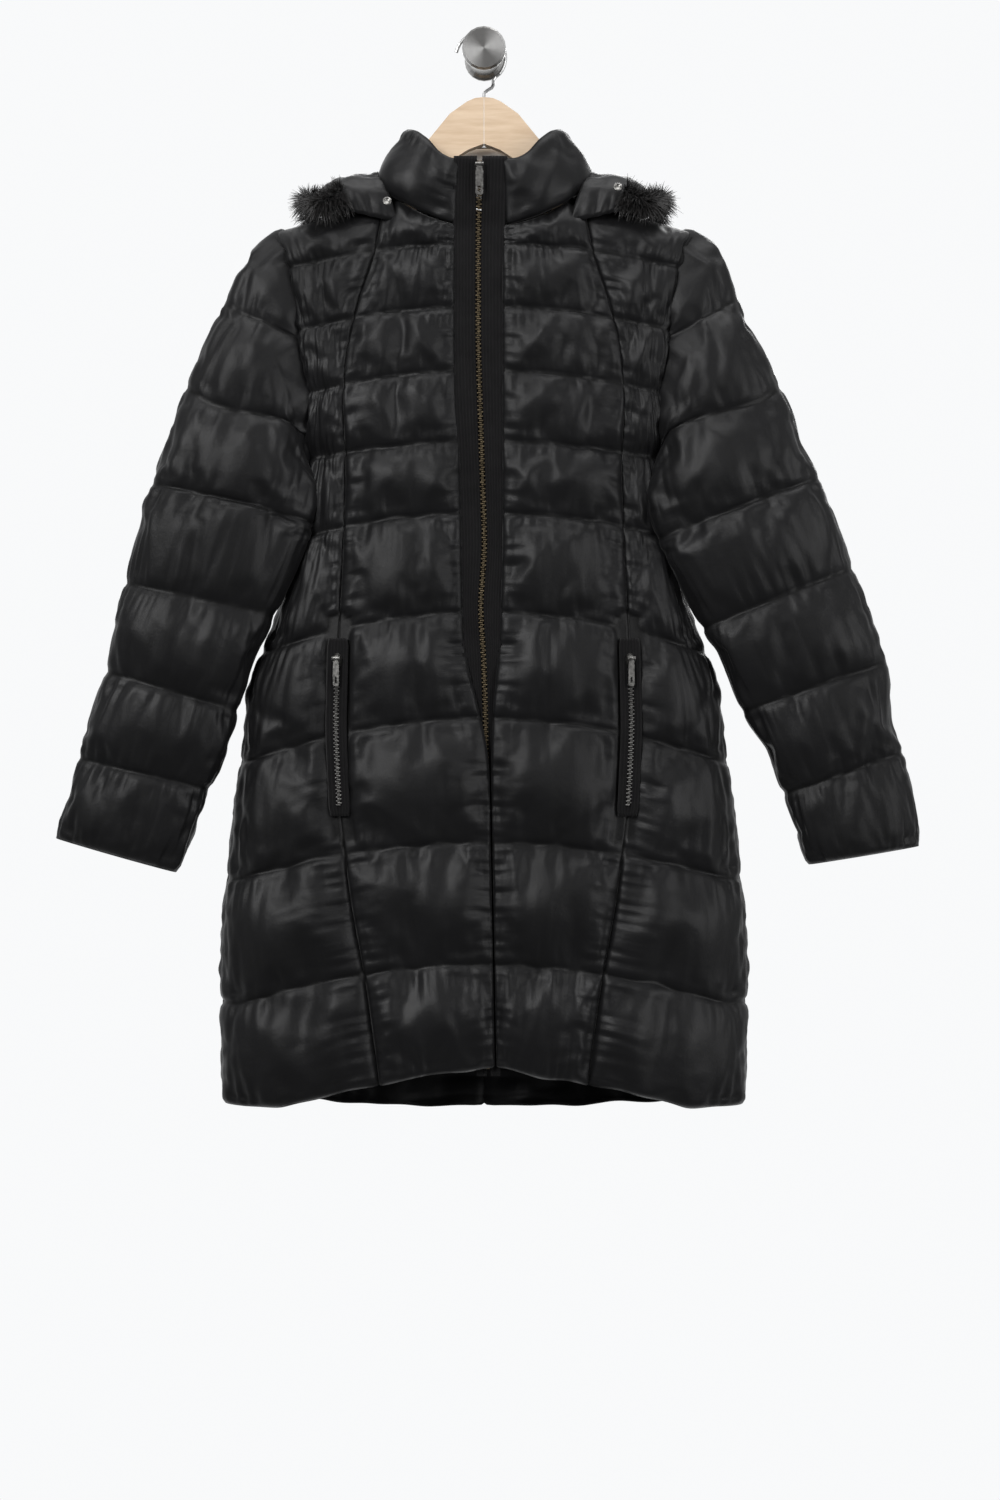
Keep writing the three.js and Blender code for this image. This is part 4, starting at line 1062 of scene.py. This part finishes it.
def spun_steel_painted_highlights():
    # turned on a lathe: fine rings round the Y axis, and painted highlights across them, bright and dark
    # wedges in the base colour
    made, tree, shader = material("spun_steel_painted_highlights", Metallic=1.0)
    at = node(tree, "ShaderNodeTexCoord", out="Object")
    x = node(tree, "ShaderNodeSeparateXYZ", values={"Vector": at}, out="X")
    z = node(tree, "ShaderNodeSeparateXYZ", values={"Vector": at}, out="Z")
    turn = z.math("ARCTAN2", x)
    # painted highlight: the base colour is lighter and darker in wedges by the angle round the axis
    painted_highlight_wedges = (turn * 2 + 0.9).math("SINE") * 0.5 + 0.5
    radius = (x * x + z * z).math("SQRT")
    rings = node(tree, "ShaderNodeTexNoise", {"noise_dimensions": "1D"}, {"W": radius * 2400, "Detail": 2.0})
    tone = ramp(tree, painted_highlight_wedges * 0.85 + rings * 0.15, (0.15, (0.24, 0.237, 0.23)), (0.55, (0.45, 0.445, 0.435)),
                (0.9, (0.74, 0.735, 0.72)))
    rough = ramp(tree, rings, (0.3, (0.24,) * 3), (0.7, (0.36,) * 3))
    feed(tree, shader, Base_Color=tone, Roughness=rough, Normal=bump(tree, rings, 0.12, 0.0001))
    return made

def beech():
    made, tree, shader = material("pale_beech", Coat_Roughness=0.35, Specular_IOR_Level=0.4)
    grain_at = place_of(tree, (7, 30, 60))
    grain = noise_of(tree, grain_at, 2.2, 5.0, 0.6)
    flecks = noise_of(tree, place_of(tree, (40, 200, 400)), 1.5, 2.0)
    tone = ramp(tree, grain * 0.8 + flecks * 0.2, (0.25, (0.50, 0.36, 0.235)), (0.55, (0.62, 0.475, 0.335)),
                (0.8, (0.70, 0.56, 0.415)))
    rough = ramp(tree, flecks, (0.3, (0.42, 0.42, 0.42)), (0.7, (0.56, 0.56, 0.56)))
    feed(tree, shader, Base_Color=tone, Roughness=rough, Normal=bump(tree, grain, 0.15, 0.0006))
    return made

def satin():
    made, tree, shader = material("grey_satin", Sheen_Weight=0.3, Sheen_Roughness=0.35)
    at = place_of(tree)
    shade = noise_of(tree, at, 40.0)
    tone = ramp(tree, shade, (0.3, (0.42, 0.41, 0.40)), (0.7, (0.52, 0.51, 0.50)))
    threads = node(tree, "ShaderNodeTexWave", {"bands_direction": "X"}, {"Vector": at, "Scale": 420.0})
    rough = ramp(tree, shade, (0.3, (0.36, 0.36, 0.36)), (0.7, (0.46, 0.46, 0.46)))
    feed(tree, shader, Base_Color=tone, Roughness=rough, Normal=bump(tree, threads, 0.25, 0.0002))
    return made

def clothe(obj, finish):
    obj.data.materials.clear()
    obj.data.materials.append(finish)

cloth_finish = nylon()
for obj in padded:
    clothe(obj, cloth_finish)
hook_steel = metal("hook_steel", (0.40, 0.40, 0.40), (0.27, 0.27, 0.27), 0.25, 0.36)
dark_steel = metal("zip_steel", (0.24, 0.235, 0.225), (0.12, 0.118, 0.112), 0.28, 0.42, scale=400.0)
brass = metal("antique_brass", (0.17, 0.135, 0.085), (0.07, 0.055, 0.035), 0.3, 0.5, scale=500.0)
tape_finish = ribbed_tape()
wood_finish = beech()
for name, obj in bpy.data.objects.items():
    if obj.type != "MESH":
        continue
    if name.startswith(("ribbed_band", "pocket_welt")):
        clothe(obj, tape_finish)
    elif name.startswith("hanger_arm"):
        clothe(obj, wood_finish)
    elif name == "wall_knob":
        clothe(obj, spun_steel_painted_highlights())
    elif name == "hanger_hook":
        clothe(obj, hook_steel)
    elif name.startswith(("hood_snap", "pocket_teeth")) or name.endswith(("_slider", "_pull")):
        clothe(obj, dark_steel)
clothe(teeth, brass)
clothe(trim, fur_hair())
clothe(patch, satin())

# %% [markdown]
# Soft boxes of light stand at both sides, above and behind, as in a shop's picture. The world is
# pale behind the coat and dim in front of it, so that black cloth stays black. The camera stands
# three metres off, level with the middle of the coat.

# %% Light and camera
def light(name, at, to, size, power):
    data = bpy.data.lights.new(name, "AREA")
    data.shape = "RECTANGLE"
    data.size, data.size_y = size
    data.energy = power
    obj = bpy.data.objects.new(name, data)
    obj.location = at
    obj.rotation_euler = (Vector(to) - Vector(at)).to_track_quat("-Z", "Y").to_euler()
    bpy.context.scene.collection.objects.link(obj)

CENTRE = (0, -0.08, -0.6)
CAMERA_AT = (0.016, -3.06, -0.702)
LENS = 72
light("key", (-1.5, -2.6, 0.9), CENTRE, (1.1, 1.5), 76)
light("fill", (2.2, -2.2, -0.2), CENTRE, (1.5, 1.8), 40)
light("top", (0.1, -0.5, 1.5), CENTRE, (1.6, 1.0), 27)
light("rear", (0.6, 2.6, 0.8), CENTRE, (2.0, 1.6), 60)

world = bpy.data.worlds.new("pale")
world.use_nodes = True
sky = world.node_tree
around = node(sky, "ShaderNodeTexCoord", out="Generated")
way = node(sky, "ShaderNodeSeparateXYZ", values={"Vector": around}, out="Y")
pale = ramp(sky, way * 0.5 + 0.5, (0.25, (0.18, 0.18, 0.185)), (0.8, (0.945, 0.952, 0.96)))
sky.links.new(pale.link, sky.nodes["Background"].inputs["Color"])
sky.nodes["Background"].inputs["Strength"].default_value = 1.0
bpy.context.scene.world = world
bpy.context.scene.view_settings.view_transform = "Standard"

camera_data = bpy.data.cameras.new("camera")
camera_data.lens = LENS
camera_data.sensor_width = 36
camera = bpy.data.objects.new("camera", camera_data)
camera.location = CAMERA_AT
camera.rotation_euler = (math.pi / 2, 0, 0)
bpy.context.scene.collection.objects.link(camera)
bpy.context.scene.camera = camera
